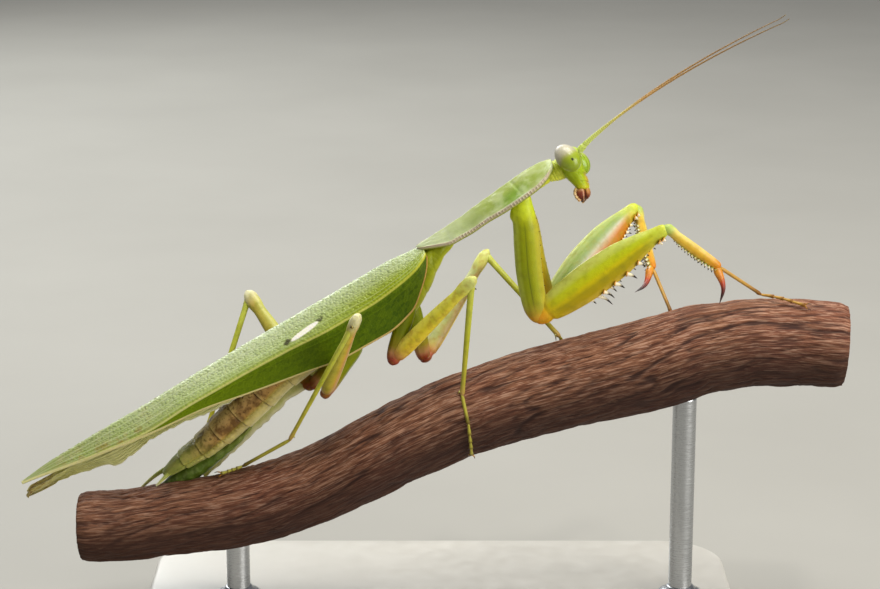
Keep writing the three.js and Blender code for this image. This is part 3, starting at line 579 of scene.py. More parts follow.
def branch():
    low, high = (vec(*corner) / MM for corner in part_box("perch"))
    points, _ = solid("perch")
    start = points[points[:, 0] < points[:, 0].min() + SAWN_DEPTH].mean(0)
    centres, radii = follow("perch", start, unit(vec(1, 0, -0.03)), 1.0, 9)
    count = int((high[0] - low[0]) / WOOD_STEP)
    line = bend(centres, count)
    along = steps(count)[:, None]
    turn = (np.arange(WOOD_SIDES) / WOOD_SIDES)[None, :]
    radius = np.interp(along[:, 0], steps(len(radii)), radii / math.cos(math.pi / SOLID_SIDES) ** 2)
    radius[0] = radius[1]
    length = high[0] - low[0]
    groove = wood_grooves(along, turn, length)
    swell = 0.25 * (field(along, turn, 9, 4, 21, True) - 1)
    rim = 0.35 * (bump(along, 0, 0.006) + bump(along, 1, 0.006))
    reach = radius[:, None] + RIDGE_RISE + swell - GROOVE_DEPTH * groove - rim
    _, side, over = ring_axes(line, vec(0, 0, 1))
    angle = turn * 2 * math.pi
    rings = (line[:, None] + (reach * np.cos(angle))[..., None] * side[:, None]
             + (reach * np.sin(angle))[..., None] * over[:, None])
    shares = np.linspace(0.96, 0.02, SAWN_RINGS)
    caps = [rings[end] * share + rings[end].mean(0) * (1 - share) for end in (0, -1) for share in shares]
    rings = np.concatenate([np.array(caps[:SAWN_RINGS])[::-1], rings, np.array(caps[SAWN_RINGS:])])
    ring_share = np.concatenate([shares[::-1], np.full(count, 1.2), shares])[:, None]
    along, groove = (np.pad(value, ((SAWN_RINGS, SAWN_RINGS), (0, 0)), "edge") for value in (along, groove))
    marks = {"along": along * length, "groove": groove, "core": ring_share,
             "over": np.sin(angle), "aside": np.cos(angle)}
    print("branch:", round(length, 1), "mm long, radius", radius.min().round(2), "to", radius.max().round(2))
    return skin(rings, **marks)


# %% [markdown]
# The wood's colour follows the same grooves: dusty pinkish ridges, with painted shade in the cuts, on the
# underside and towards the left end. Fine fibres are drawn in straightened coordinates, length and direction
# round the branch, so that they run with it through every bend.

# %% Wood finish
def wood_finish():
    made, nodes, shader = new_finish("driftwood", Roughness=0.78, Specular_IOR_Level=0.3)
    axes = {"X": nodes.times("along", 0.07), "Y": nodes.times("over", 5.2), "Z": nodes.times("aside", 5.2)}
    stretched = nodes.add("CombineXYZ", axes).outputs[0]
    fibre = nodes.noise(stretched, 2.6, 6, 0.66)
    thread = nodes.noise(stretched, 7.0, 4, 0.6)
    patch = nodes.grain(0.09, 3)
    body = nodes.ramp(fibre, {0.3: "#40200f", 0.44: "#6e422a", 0.58: "#8c5e42", 0.72: "#aa8064"})
    # the last three layers are painted shade: darker in the grooves, on the underside and towards the left
    # end
    body = nodes.lay(body, ("#6e3826", patch, 0.42, 0.66, 0.5), ("#b08a72", thread, 0.5, 0.64, 0.75),
                           ("#3a1c10", thread, 0.5, 0.38, 0.6), ("#260f08", "groove", 0.3, 0.8, 0.85),
                           ("#220d06", "over", 0.75, -0.5, 0.84), ("#3e2010", "along", 60, 15, 0.25))
    wavy_core = nodes.maths("ADD", "core", nodes.times(patch, 0.12))
    rings = nodes.maths("SINE", nodes.times(wavy_core, 62.0))
    sawn = nodes.ramp(nodes.maths("MULTIPLY_ADD", rings, 0.5), {0: "#a5866a", 1: "#cdb497"})
    on_end = nodes.maths("LESS_THAN", "core", 1.0)
    nodes.put(shader["Base Color"], nodes.mix(on_end, body, sawn))
    height = nodes.maths("ADD", fibre, nodes.times(thread, 0.5))
    nodes.put(shader["Normal"], nodes.bump(height, 0.55, 0.0003))
    return made


piece("perch_branch", branch(), wood_finish(), "perch_wood", "perch")

# %% [markdown]
# ## The display stand
# A museum puts such a branch on a small lacquered board, held by two steel rods. The board's edges are
# eased, and each rod stands in a low turned collar. Both are made as rings of points, as a lathe or a router
# would leave them.

# %% Stand shapes
BOARD_CORNER = 8.0
BOARD_EASE = 0.6
CORNER_POINTS = 14
COLLAR = [  # radius, height over the board
    (2.9, 0.0), (2.9, 0.5), (2.75, 0.75), (2.2, 0.95), (1.9, 1.1), (1.72, 1.5), (1.62, 1.6), (1.5, 1.62),
]
ROD_SIDES = 48


def board():
    low, high = (vec(*corner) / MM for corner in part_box("stand_base"))
    middle, half = (low + high) / 2, (high - low) / 2
    quarter = np.linspace(0, math.pi / 2, CORNER_POINTS)

    def rounded(inset):
        corner = max(BOARD_CORNER - inset, 0.4)
        loop = []
        for i, (sx, sy) in enumerate([(1, 1), (-1, 1), (-1, -1), (1, -1)]):
            angle = quarter + i * math.pi / 2
            loop += [(sx * (half[0] - inset - corner) + corner * math.cos(a),
                      sy * (half[1] - inset - corner) + corner * math.sin(a)) for a in angle]
        return np.array(loop)

    turns = np.linspace(0, math.pi / 2, 6)
    profile = [(12, low[2]), (2, low[2])]
    profile += [(BOARD_EASE * (1 - math.sin(a)), low[2] + BOARD_EASE * (1 - math.cos(a))) for a in turns]
    profile += [(BOARD_EASE * (1 - math.cos(a)), high[2] - BOARD_EASE * (1 - math.sin(a))) for a in turns]
    profile += [(2, high[2]), (6, high[2]), (12, high[2]), (18, high[2])]
    rings = [np.column_stack([rounded(inset) + middle[:2], np.full(4 * CORNER_POINTS, z)])
             for inset, z in profile]
    return skin(np.array(rings))


def rod(name):
    low, high = (vec(*corner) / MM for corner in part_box(name))
    middle, radius = (low + high) / 2, (high[0] - low[0]) / 2
    board_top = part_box("stand_base")[1][2] / MM
    line = np.array([[middle[0], middle[1], z] for z in np.linspace(board_top, high[2] + 0.1, 60)])
    bar = tube(line, radius, radius, vec(1, 0, 0), ROD_SIDES)
    foot = np.array([[middle[0], middle[1], board_top + z] for _, z in COLLAR])
    sizes = np.array([r for r, _ in COLLAR])
    angle = round_angles(ROD_SIDES)
    circle = np.stack([np.cos(angle), np.sin(angle), 0 * angle], 1)
    return [bar, skin(foot[:, None] + sizes[:, None, None] * circle)]


# %% Stand finishes
def board_finish():
    made, nodes, shader = new_finish("lacquered_board", Roughness=0.42, Coat_Weight=0.25, Coat_Roughness=0.2)
    mottle = nodes.grain(0.5, 5)
    nodes.feed(shader, Base_Color=nodes.mix(mottle, "#b7b2a8", "#c6c2ba"),
               Roughness=nodes.span(mottle, 0.3, 0.7, 0.36, 0.5))
    orange_peel = nodes.grain(3.0, 2)
    nodes.put(shader["Normal"], nodes.bump(orange_peel, 0.08, 0.0001))
    return made


def steel_finish():
    made, nodes, shader = new_finish("brushed_rod", Metallic=1.0, Roughness=0.28)
    squeezed = nodes.add("Mapping", {"Vector": nodes.place(), "Scale": (0.4, 0.4, 14)}).outputs[0]
    brushed = nodes.noise(squeezed, 1.6, 4)
    nodes.feed(shader, Base_Color=nodes.mix(brushed, "#9a9c9f", "#c4c6c8"),
               Roughness=nodes.span(brushed, 0.3, 0.7, 0.22, 0.38),
               Normal=nodes.bump(brushed, 0.1, 0.00005))
    return made


piece("stand_board", board(), board_finish(), "stand_base_board", "stand_base")
STEEL = steel_finish()
for end in ("rear", "front"):
    piece(f"stand_rod_{end}_turned", rod(f"stand_rod_{end}"), STEEL, "stand_rod_steel", f"stand_rod_{end}")


# %% [markdown]
# ## Where the body and the head lie
# The body slopes up and leans a little to its right, and the head is turned and tilted on its own. Plates
# are drawn lying level, with X forward, Y to the left and Z up, and then laid on one of these two frames.
# That keeps every table simple, because left and right mirror each other.

# %% Frames of the body and the head
BODY_ORIGIN = vec(-2.9, 0, 51.1)
BODY_TURN = (0, 30.9, 10)
HEAD_ORIGIN = vec(21.5, 0, -1.05)
HEAD_TURN = (-14, 8, -17)


def turned(heading, climb, tilt):
    """Axes of a frame with a heading, a climb and a tilt about its forward axis, as columns."""
    a, b, c = (math.radians(value) for value in (heading, climb, tilt))
    yaw = vec([math.cos(a), -math.sin(a), 0], [math.sin(a), math.cos(a), 0], [0, 0, 1])
    pitch = vec([math.cos(b), 0, -math.sin(b)], [0, 1, 0], [math.sin(b), 0, math.cos(b)])
    roll = vec([1, 0, 0], [0, math.cos(c), -math.sin(c)], [0, math.sin(c), math.cos(c)])
    return yaw @ pitch @ roll


BODY_AXES = turned(*BODY_TURN)
HEAD_AXES = turned(*HEAD_TURN)
BODY_UP = BODY_AXES[:, 2]


def on_body(points):
    return np.asarray(points, float) @ BODY_AXES.T + BODY_ORIGIN


def on_head(points):
    return np.asarray(points, float) @ HEAD_AXES.T + on_body(HEAD_ORIGIN)


print("head centre", on_head([0, 0, 0]).round(1))

# %% [markdown]
# ## Cuticle
# An insect's skin is a stiff, faintly translucent shell with very fine pits and a soft gloss. All its plates
# and limbs share one grain, which gives a height for the bump and a slow mottle for the colour. Light
# passes a little way into the shell, so thin limbs glow slightly. That is plain subsurface scattering on the
# shader.

# %% Grain shared by all cuticle
grain_tree, inner, grain_in, grain_out = group(
    "cuticle_grain", [("Fineness", "Float", 1.0)], [("Height", "Float"), ("Mottle", "Float")])
scaled = inner.add("VectorMath", operation="SCALE")
inner.put(scaled.inputs[0], inner.place())
inner.put(scaled.inputs["Scale"], grain_in["Fineness"])
pits = inner.add("TexVoronoi", {"Vector": scaled.outputs[0], "Scale": 7.0})
soft = inner.noise(scaled.outputs[0], 2.2, 2)
pitted = inner.times(pits.outputs["Distance"], 0.6)
inner.put(grain_out["Height"], inner.maths("ADD", pitted, soft))
inner.put(grain_out["Mottle"], inner.noise(scaled.outputs[0], 0.7, 2))

TRANSLUCENCY = {"Subsurface_Weight": 0.18, "Subsurface_Radius": (1.0, 0.9, 0.25), "Subsurface_Scale": 0.0006}
GLOSS = {"Roughness": 0.42, "Coat_Weight": 0.06, "Coat_Roughness": 0.2, "Specular_IOR_Level": 0.2}


def cuticle(name, tint, fineness=1.0, grain=0.3, mottle=0.25, dark="#5f6a1c", **constants):
    """A cuticle finish. tint is a function that gives the colour from the finish's nodes."""
    made, nodes, shader = new_finish(name, **{**TRANSLUCENCY, **GLOSS, **constants})
    skin_grain = use_group(nodes, grain_tree, Fineness=fineness)
    patchy = nodes.span(skin_grain["Mottle"], 0.45, 0.75, 0.0, mottle)
    nodes.feed(shader, Base_Color=nodes.mix(patchy, tint(nodes), dark),
               Roughness=nodes.span(skin_grain["Height"], 0.3, 0.9, 0.48, 0.32),
               Normal=nodes.bump(skin_grain["Height"], grain, 0.00012))
    return made


def banded(mark, stops, *layers):
    """A tint in bands along a mark, with layers over it."""
    return lambda nodes: nodes.lay(nodes.ramp(mark, stops), *layers)


# %% [markdown]
# ## The pronotum
# The long shield behind the head is a roof with a fine keel down the middle. A shallow groove crosses it
# where the forelegs hang below. Its edge is a thin, slightly turned-up flange with small teeth. The table
# says how wide the shield is along its length and how high its ridge and its edge are.

# %% Pronotum shape
PRONOTUM = [  # station, half-width, height of the ridge, height of the edge
    [0.0, 0.3, 0.15, 0.0], [0.5, 0.72, 0.18, -0.08], [1.2, 1.12, 0.21, -0.2], [2.4, 1.58, 0.25, -0.5],
    [4.4, 2.12, 0.35, -0.95], [6.6, 2.22, 0.5, -0.95], [9.5, 2.62, 0.85, -0.6], [12, 3.1, 1.1, -0.4],
    [14.5, 3.38, 1.38, -0.15], [16.6, 3.2, 1.56, 0], [18.3, 2.62, 1.5, 0.3], [19.2, 1.9, 1.32, 0.55],
    [19.7, 1.15, 1.15, 0.7], [19.9, 0.5, 1.05, 0.8],
]
SHIELD_THICKNESS = 0.4
SULCUS = 14.2  # where the cross groove meets the keel
TOOTH_PITCH = 0.42


def pronotum():
    x = np.linspace(0, PRONOTUM[-1][0], 420)[:, None]
    width, ridge, edge = (column[:, None] for column in smooth(PRONOTUM, x[:, 0]).T)
    tooth = np.maximum(0, np.sin(2 * math.pi * x / TOOTH_PITCH)) ** 3 * (0.5 + field(x / 20, 0, 60, 1, 31))
    tooth = 0.09 * tooth * ease(x, 2.5, 6) * (1 - ease(x, 18.2, 19))
    share = np.sin(np.linspace(-1, 1, 109) * math.pi / 2)[None, ::-1]
    beside = np.abs(share)
    height = ridge - (ridge - edge) * beside ** 1.35
    groove = bump(x - SULCUS - 0.9 * beside, 0, 0.26) * ease(beside, 1.0, 0.75)
    keel = bump(share * width, 0, 0.13) * ease(x, 0.6, 3.0) * (0.5 + 0.5 * ease(x, 15.5, 14))
    hollow = bump(beside, 0.72, 0.12)
    flange = ease(beside, 0.87, 0.97)
    ripple = (field(x / 20, (share + 1) / 2, 24, 12, 32) - 0.5) * 0.08 * (1 - flange)
    top = height + 0.1 * keel - 0.06 * groove - 0.06 * hollow + 0.1 * flange + ripple
    top = top - 0.18 * ease(beside, 0.985, 1.0)
    under_share = np.linspace(-0.985, 0.985, 31)[None, :]
    under = ridge - (ridge - edge) * np.abs(under_share) ** 1.35 - SHIELD_THICKNESS
    across = np.concatenate([(width + tooth * flange) * share, width * under_share], 1)
    up = np.concatenate([top, under], 1)
    rings = np.stack([np.broadcast_to(x, across.shape), across, up], 2)

    def both_faces(over, below):
        return np.concatenate([np.broadcast_to(over, top.shape), np.broadcast_to(below, under.shape)], 1)

    rim = both_faces(flange, ease(np.abs(under_share), 0.84, 0.97))
    return skin(on_body(rings), along=x / PRONOTUM[-1][0], aside=both_faces(share, under_share),
                keel=both_faces(keel, 0), groove=both_faces(groove, 0), flange=rim, below=both_faces(0, 1))


# %% Pronotum finish
def pronotum_tint(nodes):
    aside = nodes.maths("ABSOLUTE", "aside")
    body = nodes.ramp(aside, {0: "#a3ae60", 0.3: "#97a54c", 0.62: "#8a9a3e", 0.85: "#9ba55e"})
    body = nodes.lay(body, ("#b4bc96", "along", 0.62, 0.08, 0.85))
    slopes = nodes.times(nodes.span(aside, 0.25, 0.7), nodes.span("along", 0.5, 0.68))
    slopes = nodes.times(slopes, nodes.span("along", 0.86, 0.74))
    body = nodes.mix(nodes.times(slopes, 0.7), body, "#6d9420")
    body = nodes.lay(body, ("#bcc394", nodes.grain(0.55, 3), 0.42, 0.68, 0.5))
    body = nodes.mix(nodes.times("keel", 0.35), body, "#ccd5a4")
    # painted shade, a little darker in the cross groove
    body = nodes.mix(nodes.times("groove", 0.2), body, "#6f8f2c")
    body = nodes.mix(nodes.times("flange", 0.8), body, "#ad9888")
    body = nodes.lay(body, ("#ccd6a0", "along", 0.95, 0.99, 0.7))
    return nodes.mix("below", body, "#98a52a")


PRONOTUM_GREEN = cuticle("pronotum_shell_green", pronotum_tint, 1.3, 0.2, 0.15, "#86a03c",
                         Specular_IOR_Level=0.4)
piece("pronotum_shield", pronotum(), PRONOTUM_GREEN, "pronotum_shell", "pronotum")
print("pronotum:", PIECES[-1])

# %% [markdown]
# ## The trunk
# Below the shield runs the narrow prothorax, which carries the forelegs, and the neck joins it to the head.
# Behind, the thorax is a deep box of side plates that meet in slanting seams. The softer skin between plates
# folds into fine creases.

# %% Neck, prothorax and thorax shapes
PROTHORAX = [  # station, height of the middle, half-width, half-height
    [2.6, -1.15, 0.7, 0.4], [5, -1.3, 1.0, 0.5], [9, -1.1, 1.1, 0.7], [12, -0.9, 1.3, 0.78],
    [14.5, -0.72, 1.45, 0.88], [17, -0.52, 1.4, 0.86], [19.1, -0.47, 1.15, 0.78],
]
NECK = [[18.7, -0.45, 1.2, 0.95], [20.1, -0.6, 1.35, 1.3], [21.5, -0.9, 1.3, 1.3]]
THORAX = [  # the columns of PROTHORAX
    [4.6, -1.5, 0.2, 0.1], [4.2, -1.6, 0.6, 0.42], [3.4, -1.65, 1.0, 0.75], [2.2, -1.75, 1.4, 1.05],
    [0, -2.5, 1.9, 1.6], [-3, -3.75, 2.2, 2.45], [-6.5, -4.7, 2.3, 3.1], [-10, -5.3, 2.2, 2.7],
    [-13.7, -5.35, 2.1, 2.45],
]
SIDE_SEAMS = [  # station at the top of the seam, how far it slants back going down, its depth
    (0.9, 1.2, 0.05), (-1.3, 1.6, 0.1), (-3.9, 1.7, 0.18), (-6.3, 1.5, 0.12), (-8.8, 1.5, 0.18),
    (-11.2, 1.2, 0.12),
]


def trunk_tube(rows, count, sides, relief, fullness=2.2, **marks):
    """A tube along the body from rows of station, middle height, half-width and half-height.

    Its relief and its marks are functions of the station and of the angle round the tube."""
    x = np.linspace(rows[0][0], rows[-1][0], count)
    z, w, h = smooth(rows, x).T
    line = on_body(np.column_stack([x, np.zeros(count), z]))
    place = x[:, None], round_angles(sides)[None, :]
    marks = {name: mark(*place) for name, mark in (marks or {"seam": relief}).items()}
    return tube(line, w, h, BODY_UP, sides, 0, fullness, relief(*place), **marks)


def creases(x, angle, pitch, depth, seed):
    """Cross folds of soft skin, none of them quite straight."""
    wander = field((x - x.min()) / np.ptp(x), angle / (2 * math.pi), 9, 6, seed, True)
    return -depth * (0.5 + 0.5 * np.cos(2 * math.pi * (x / pitch + 0.8 * wander))) ** 3


def thorax_relief(x, angle):
    down = -np.sin(angle)
    relief = np.zeros(np.broadcast_shapes(x.shape, angle.shape))
    beside = np.abs(np.cos(angle))
    for top, slant, depth in SIDE_SEAMS:
        relief = relief - depth * bump(x - top + slant * down, 0, 0.16) * (0.35 + 0.65 * beside)
    swell = 0.06 * np.cos(2 * math.pi * (x + 1.5 * down) / 2.5)
    return relief + swell * beside + creases(x, angle, 0.5, 0.015, 41)


# %% Trunk finish
def trunk_tint(belly, flank, back):
    """The colour of a plate of the trunk, from three colours round it."""
    def tint(nodes):
        height = nodes.span("over", -1, 1)
        body = nodes.ramp(height, {0: belly, 0.35: flank, 0.7: flank, 1: back})
        # the last layer is painted shade, darker where the seams and creases sink in
        return nodes.lay(body, (belly, nodes.grain(0.6, 4), 0.42, 0.68, 0.4),
                         ("#5c6a08", "seam", -0.05, -0.2, 0.55))
    return tint


TRUNK = cuticle("trunk_cuticle", trunk_tint("#a6aa24", "#7f8604", "#8a9214"), 1.2)
# a brighter copy of the trunk's tint for the neck and prothorax: painted light where they lie in shade
NECK_SKIN_PAINTED_LIGHT = cuticle("neck_cuticle_painted_light", trunk_tint("#d2d650", "#bec62c", "#b8c232"), 1.4, 0.4)
stem = trunk_tube(PROTHORAX, 180, 56, lambda x, angle: creases(x, angle, 0.85, 0.05, 42))
neck = trunk_tube(NECK, 60, 56, lambda x, angle: creases(x, angle, 0.34, 0.05, 43))
piece("prothorax_stem", stem, NECK_SKIN_PAINTED_LIGHT, "body_shell", "prothorax")
piece("neck_membrane", neck, NECK_SKIN_PAINTED_LIGHT, "body_shell", "neck")
piece("thorax_box", trunk_tube(THORAX, 300, 96, thorax_relief, 2.4), TRUNK, "body_shell", "thorax")

# %% [markdown]
# ## The abdomen
# The abdomen is a row of rings, each a hard back plate and a softer belly plate joined by a folded side
# strip. Every ring slides a little over the next. It is drawn as one tube whose width steps down at each
# ring and creases along the side. Under its end lies the boat-shaped plate of a female, and two short
# jointed feelers stand beside it.

# %% Abdomen shape
ABDOMEN = [  # the columns of PROTHORAX
    [-13.9, -5.35, 2.05, 2.45], [-18, -5.1, 2.1, 2.2], [-23, -5.55, 2.1, 2.2], [-28, -6.75, 2.15, 2.25],
    [-33, -7.95, 2.2, 2.0], [-37, -8.8, 2.0, 1.55], [-40.5, -9.1, 1.6, 1.05], [-42.6, -9.4, 1.05, 0.6],
    [-43.4, -9.5, 0.5, 0.25],
]
RING_ENDS = [-13.9, -18.4, -22.7, -26.9, -30.7, -34.2, -37.3, -40.2, -43.4]
SIDE_FOLD = -0.28  # height of the folded strip on the side, as a share of the half-height


def ring_share(x):
    """How far through its own ring a station lies, and the ring's number."""
    ends = -np.array(RING_ENDS)
    number = np.clip(np.searchsorted(ends, -x, "right") - 1, 0, len(ends) - 2)
    return (-x - ends[number]) / (ends[number + 1] - ends[number]), number


def abdomen_relief(x, angle):
    share, number = ring_share(x)
    over = np.sin(angle)
    step = 0.13 * share ** 2 - 0.16 * np.exp(-share / 0.06) + 0.02
    fold = bump(over, SIDE_FOLD, 0.11)
    crimp = 0.04 * np.sin(2 * math.pi * share * 6 + 3 * number)
    along = (x - x.min()) / np.ptp(x)
    wrinkle = 0.05 * (field(along, angle / (2 * math.pi), 60, 30, 44, True) - 0.5)
    return step * (1 - 0.5 * fold) - (0.17 - crimp) * fold + wrinkle


def ring_mark(x, angle):
    return ring_share(x)[0]


def fold_mark(x, angle):
    return bump(np.sin(angle), SIDE_FOLD, 0.13)


END_PLATE = [  # the columns of PROTHORAX
    [-30.3, -9.75, 0.35, 0.12], [-31.2, -9.95, 0.85, 0.3], [-33, -10.35, 1.3, 0.55],
    [-36.5, -10.75, 1.6, 0.8], [-39.5, -11.0, 1.6, 1.1], [-42, -11.1, 1.25, 1.0],
    [-44.3, -11.1, 0.75, 0.6], [-46, -11.15, 0.32, 0.3], [-46.4, -11.15, 0.1, 0.1],
]


def keel_relief(x, angle):
    over, beside = np.sin(angle), np.abs(np.cos(angle))
    keel = 0.16 * np.maximum(0, -over) ** 10 * ease(-x, 32, 36)
    ribs = 0.05 * np.sin(2 * math.pi * (x + 1.2 * beside) / 1.6)
    return keel + ribs * beside - 0.06 * bump(over, 0.2, 0.12)


def cercus(hand):
    """One of the two short jointed feelers at the tail."""
    name = "cercus_right" if hand < 0 else "cercus_left"
    line = from_tip(name, on_body([-42.3, hand * 0.75, -9.35]), 0.3, 0.8)
    line = bend(line[::3], 150)
    line = np.concatenate([line, line[-1] + np.arange(1, 46)[:, None] * (line[-1] - line[-2])])
    share = steps(len(line))
    joint = (share * 13) % 1
    radius = (0.36 - 0.22 * share) * (0.78 + 0.22 * np.sin(math.pi * joint) ** 0.5)
    radius[-4:] *= [0.9, 0.7, 0.45, 0.15]
    return tube(line, radius, radius, BODY_UP, 20, joint=joint[:, None])


# %% Abdomen finishes
def abdomen_tint(nodes):
    over = nodes.span("over", -1, 1)
    # the top of the back is lighter, partly painted light where the wings shade it
    back = nodes.ramp(over, {0: "#ccc482", 0.18: "#c4b572", 0.36: "#a88a46", 0.55: "#9c763a",
                      0.8: "#b08c52", 1: "#b39a5c"})
    dusky = nodes.span(over, 0.12, 0.42, 0.25, 1.0)
    specks = nodes.times(nodes.span(nodes.grain(2.6, 5, 0.65), 0.52, 0.64, 0, 0.75), dusky)
    back = nodes.mix(specks, back, "#3f290c")
    clouds = nodes.times(nodes.span(nodes.grain(0.5, 4), 0.45, 0.6, 0, 0.85), dusky)
    back = nodes.mix(clouds, back, "#573813")
    back = nodes.lay(back, ("#cdb56c", "ring", 0.86, 0.99, 0.3), ("#3c2a10", "ring", 0.07, 0.0, 0.5))
    back = nodes.mix(nodes.times("fold", 0.4), back, "#8d8a2c")
    return nodes.lay(back, ("#8c9c44", "along", 0.66, 0.94, 0.7))


def end_plate_tint(nodes):
    body = nodes.ramp("along", {0: "#747c34", 0.35: "#4f621c", 0.75: "#435614", 1: "#6a7434"})
    return nodes.lay(body, ("#8a9456", nodes.grain(1.4, 5), 0.46, 0.68, 0.35))


CERCUS_TINT = banded("along", {0: "#98a438", 0.5: "#b2b664", 1: "#c6c294"},
                     ("#5c5a1e", "joint", 0.14, 0.0, 0.6))
ABDOMEN_BROWN = cuticle("abdomen_brown", abdomen_tint, 1.4, 0.5, 0.2, "#6b5224", Roughness=0.5)
END_PLATE_GREEN = cuticle("end_plate_green", end_plate_tint, 1.4, 0.4)
abdomen = trunk_tube(ABDOMEN, 520, 112, abdomen_relief, 2.1, ring=ring_mark, fold=fold_mark)
piece("abdomen_rings", abdomen, ABDOMEN_BROWN, "abdomen_shell", "abdomen")
piece("abdomen_end_plate", trunk_tube(END_PLATE, 200, 64, keel_relief, 2.0), END_PLATE_GREEN,
      "abdomen_shell", "abdomen_plate")
CERCI = cuticle("cercus_green", CERCUS_TINT, 2.0)
for side, hand in SIDES.items():
    piece(f"tail_feeler_{side}", cercus(hand), CERCI, "abdomen_shell", f"cercus_{side}")

# %% [markdown]
# ## Cells and veins
# A wing is a thin film stretched over a net of veins. The long veins are lines with a place across the wing
# that changes slowly along it, and between them lies a mesh of small cells. Cell walls come from a grid of
# points, each moved a little at random: a wall lies wherever two points are equally near.

# %% Cell walls from jittered points
def cells(x, y, size_x, size_y, seed, jitter=0.75):
    """How near each place is to a cell wall (1 on the wall), and a random value for each cell."""
    gx, gy = x / size_x, y / size_y
    gx, gy = gx - gx.min() + 2, gy - gy.min() + 2
    table = np.random.default_rng(seed).random((int(gx.max()) + 4, int(gy.max()) + 4, 3))
    row = np.floor(gy).astype(int)
    nearest, second = np.full(gx.shape, 9.0), np.full(gx.shape, 9.0)
    value = np.zeros(gx.shape)
    for dj in (-1, 0, 1):
        j = row + dj
        stagger = 0.5 * (j % 2)
        column = np.floor(gx - stagger).astype(int)
        for di in (-1, 0, 1):
            i = column + di
            random = table[i, j]
            at_x = i + stagger + 0.5 + jitter * (random[..., 0] - 0.5)
            at_y = j + 0.5 + jitter * (random[..., 1] - 0.5)
            distance = np.hypot(gx - at_x, gy - at_y)
            closer = distance < nearest
            second = np.where(closer, nearest, np.minimum(second, distance))
            value = np.where(closer, random[..., 2], value)
            nearest = np.where(closer, distance, nearest)
    return np.exp(-((second - nearest) / 0.16) ** 2), value


# %% [markdown]
# ## The forewings
# The forewings lie folded like a roof: a steep side below the main vein, and a flatter top above it, where
# the right wing laps over the left. The side shows coarse slanting cells, the top a finer net between long
# veins that run together to the tip. A third of the way along each wing lies a small white callus, the
# stigma.

# %% Forewing sections
FOREWING = [  # station, half-width and height at the edge, at the main vein, height and reach at the middle
    [0.7, 1.5, -1.3, 1.25, -1.0, -0.85, 0.1], [0.1, 2.2, -2.1, 1.9, -1.2, -0.88, 0.2],
    [-1.6, 3.0, -3.7, 2.65, -1.65, -0.92, 0.4], [-4.5, 3.4, -5.8, 3.0, -2.1, -0.85, 0.8],
    [-8.5, 3.6, -6.6, 3.1, -2.45, -0.85, 1.1], [-14, 3.6, -6.55, 3.15, -2.45, -0.86, 1.3],
    [-20.5, 3.5, -5.5, 3.1, -2.1, -0.86, 1.3], [-27, 3.3, -4.4, 2.95, -1.95, -0.88, 1.3],
    [-34, 3.0, -3.15, 2.78, -1.95, -0.95, 1.2], [-41, 2.6, -2.68, 2.5, -2.3, -1.08, 1.0],
    [-48, 1.95, -1.98, 1.88, -1.78, -1.0, 0.5], [-54, 1.15, -1.3, 1.1, -1.18, -0.98, 0.2],
    [-57.5, 0.5, -1.02, 0.46, -0.98, -0.93, 0.06], [-59.2, 0.12, -0.93, 0.11, -0.92, -0.9, 0.03],
]
OVERLAP_LIFT = [  # station, how far the right wing's roof is lifted, and the left one's under it
    [0.7, 0.38, 0.16], [-4.5, 0.82, 0.56], [-41, 0.82, 0.56], [-54, 0.62, 0.38], [-59.2, 0.06, 0.02],
]
FILM_OUTSIDE = 0.25
FILM_THICKNESS = 0.13
EDGE_POINTS, TOP_POINTS, INSIDE_POINTS = 52, 68, 30


def forewing_corners(row, lift, other_lift):
    """Corners across a folded wing, from its lower edge over the main vein to past the back's middle."""
    wide, low, vein_wide, vein_high, middle, past = row
    shoulder = vein_high * 0.38 + middle * 0.62 + lift / 2
    slope = (0.38 * (middle - vein_high) + other_lift / 2) / (vein_wide * 0.52)
    bulge = 0.08 * min(1, (vein_high - low) / 1.5)
    return np.array([
        (wide, low), ((wide + vein_wide) / 2 + bulge, (low + vein_high) / 2), (vein_wide, vein_high),
        (vein_wide * 0.52, shoulder), (0, middle + lift), (-past, middle + lift - slope * past)])


def across_wing(corners, vein, edge_points, top_points):
    """Evenly spaced places over a section, with a fixed number of them on each side of the main vein."""
    run = chord(corners)
    at = np.concatenate([np.linspace(0, run[vein], edge_points, endpoint=False),
                         np.linspace(run[vein], run[-1], top_points)])
    return curve(corners, at)

# %% Folded films
def film(stations, sections, hand, relief, **marks):
    """A thin folded sheet from sections at stations: an outer face with a relief, and a plain inner one."""
    run = np.gradient(sections, axis=1)
    run /= np.linalg.norm(run, axis=2)[..., None]
    out = np.stack([run[..., 1], -run[..., 0]], 2)
    count = sections.shape[1]
    taper = np.minimum(1, np.minimum(np.arange(count), np.arange(count)[::-1]) / 2 + 0.2)
    outer = sections + out * (FILM_OUTSIDE + relief - FILM_THICKNESS / 2 * (1 - taper))[..., None]
    inner_at = np.linspace(count - 1, 0, INSIDE_POINTS).astype(int)
    inner = sections[:, inner_at] + out[:, inner_at] * (FILM_OUTSIDE - FILM_THICKNESS)
    section = np.concatenate([outer, inner], 1)
    x = np.broadcast_to(stations[:, None], section.shape[:2])
    rings = np.stack([x, hand * section[..., 0], section[..., 1]], 2)
    both = {}
    for name, value in marks.items():
        value = np.broadcast_to(value, (len(stations), count))
        both[name] = np.concatenate([value, value[:, inner_at]], 1)
    inside = np.concatenate([np.zeros(count), np.ones(INSIDE_POINTS)])
    points, faces, marks = skin(on_body(rings), caps=False, inside=inside[None, :], **both)
    for first in (0, (len(stations) - 1) * (count + INSIDE_POINTS)):
        faces.append(thin_end(first, count, inner_at, first > 0))
    return points, faces, marks


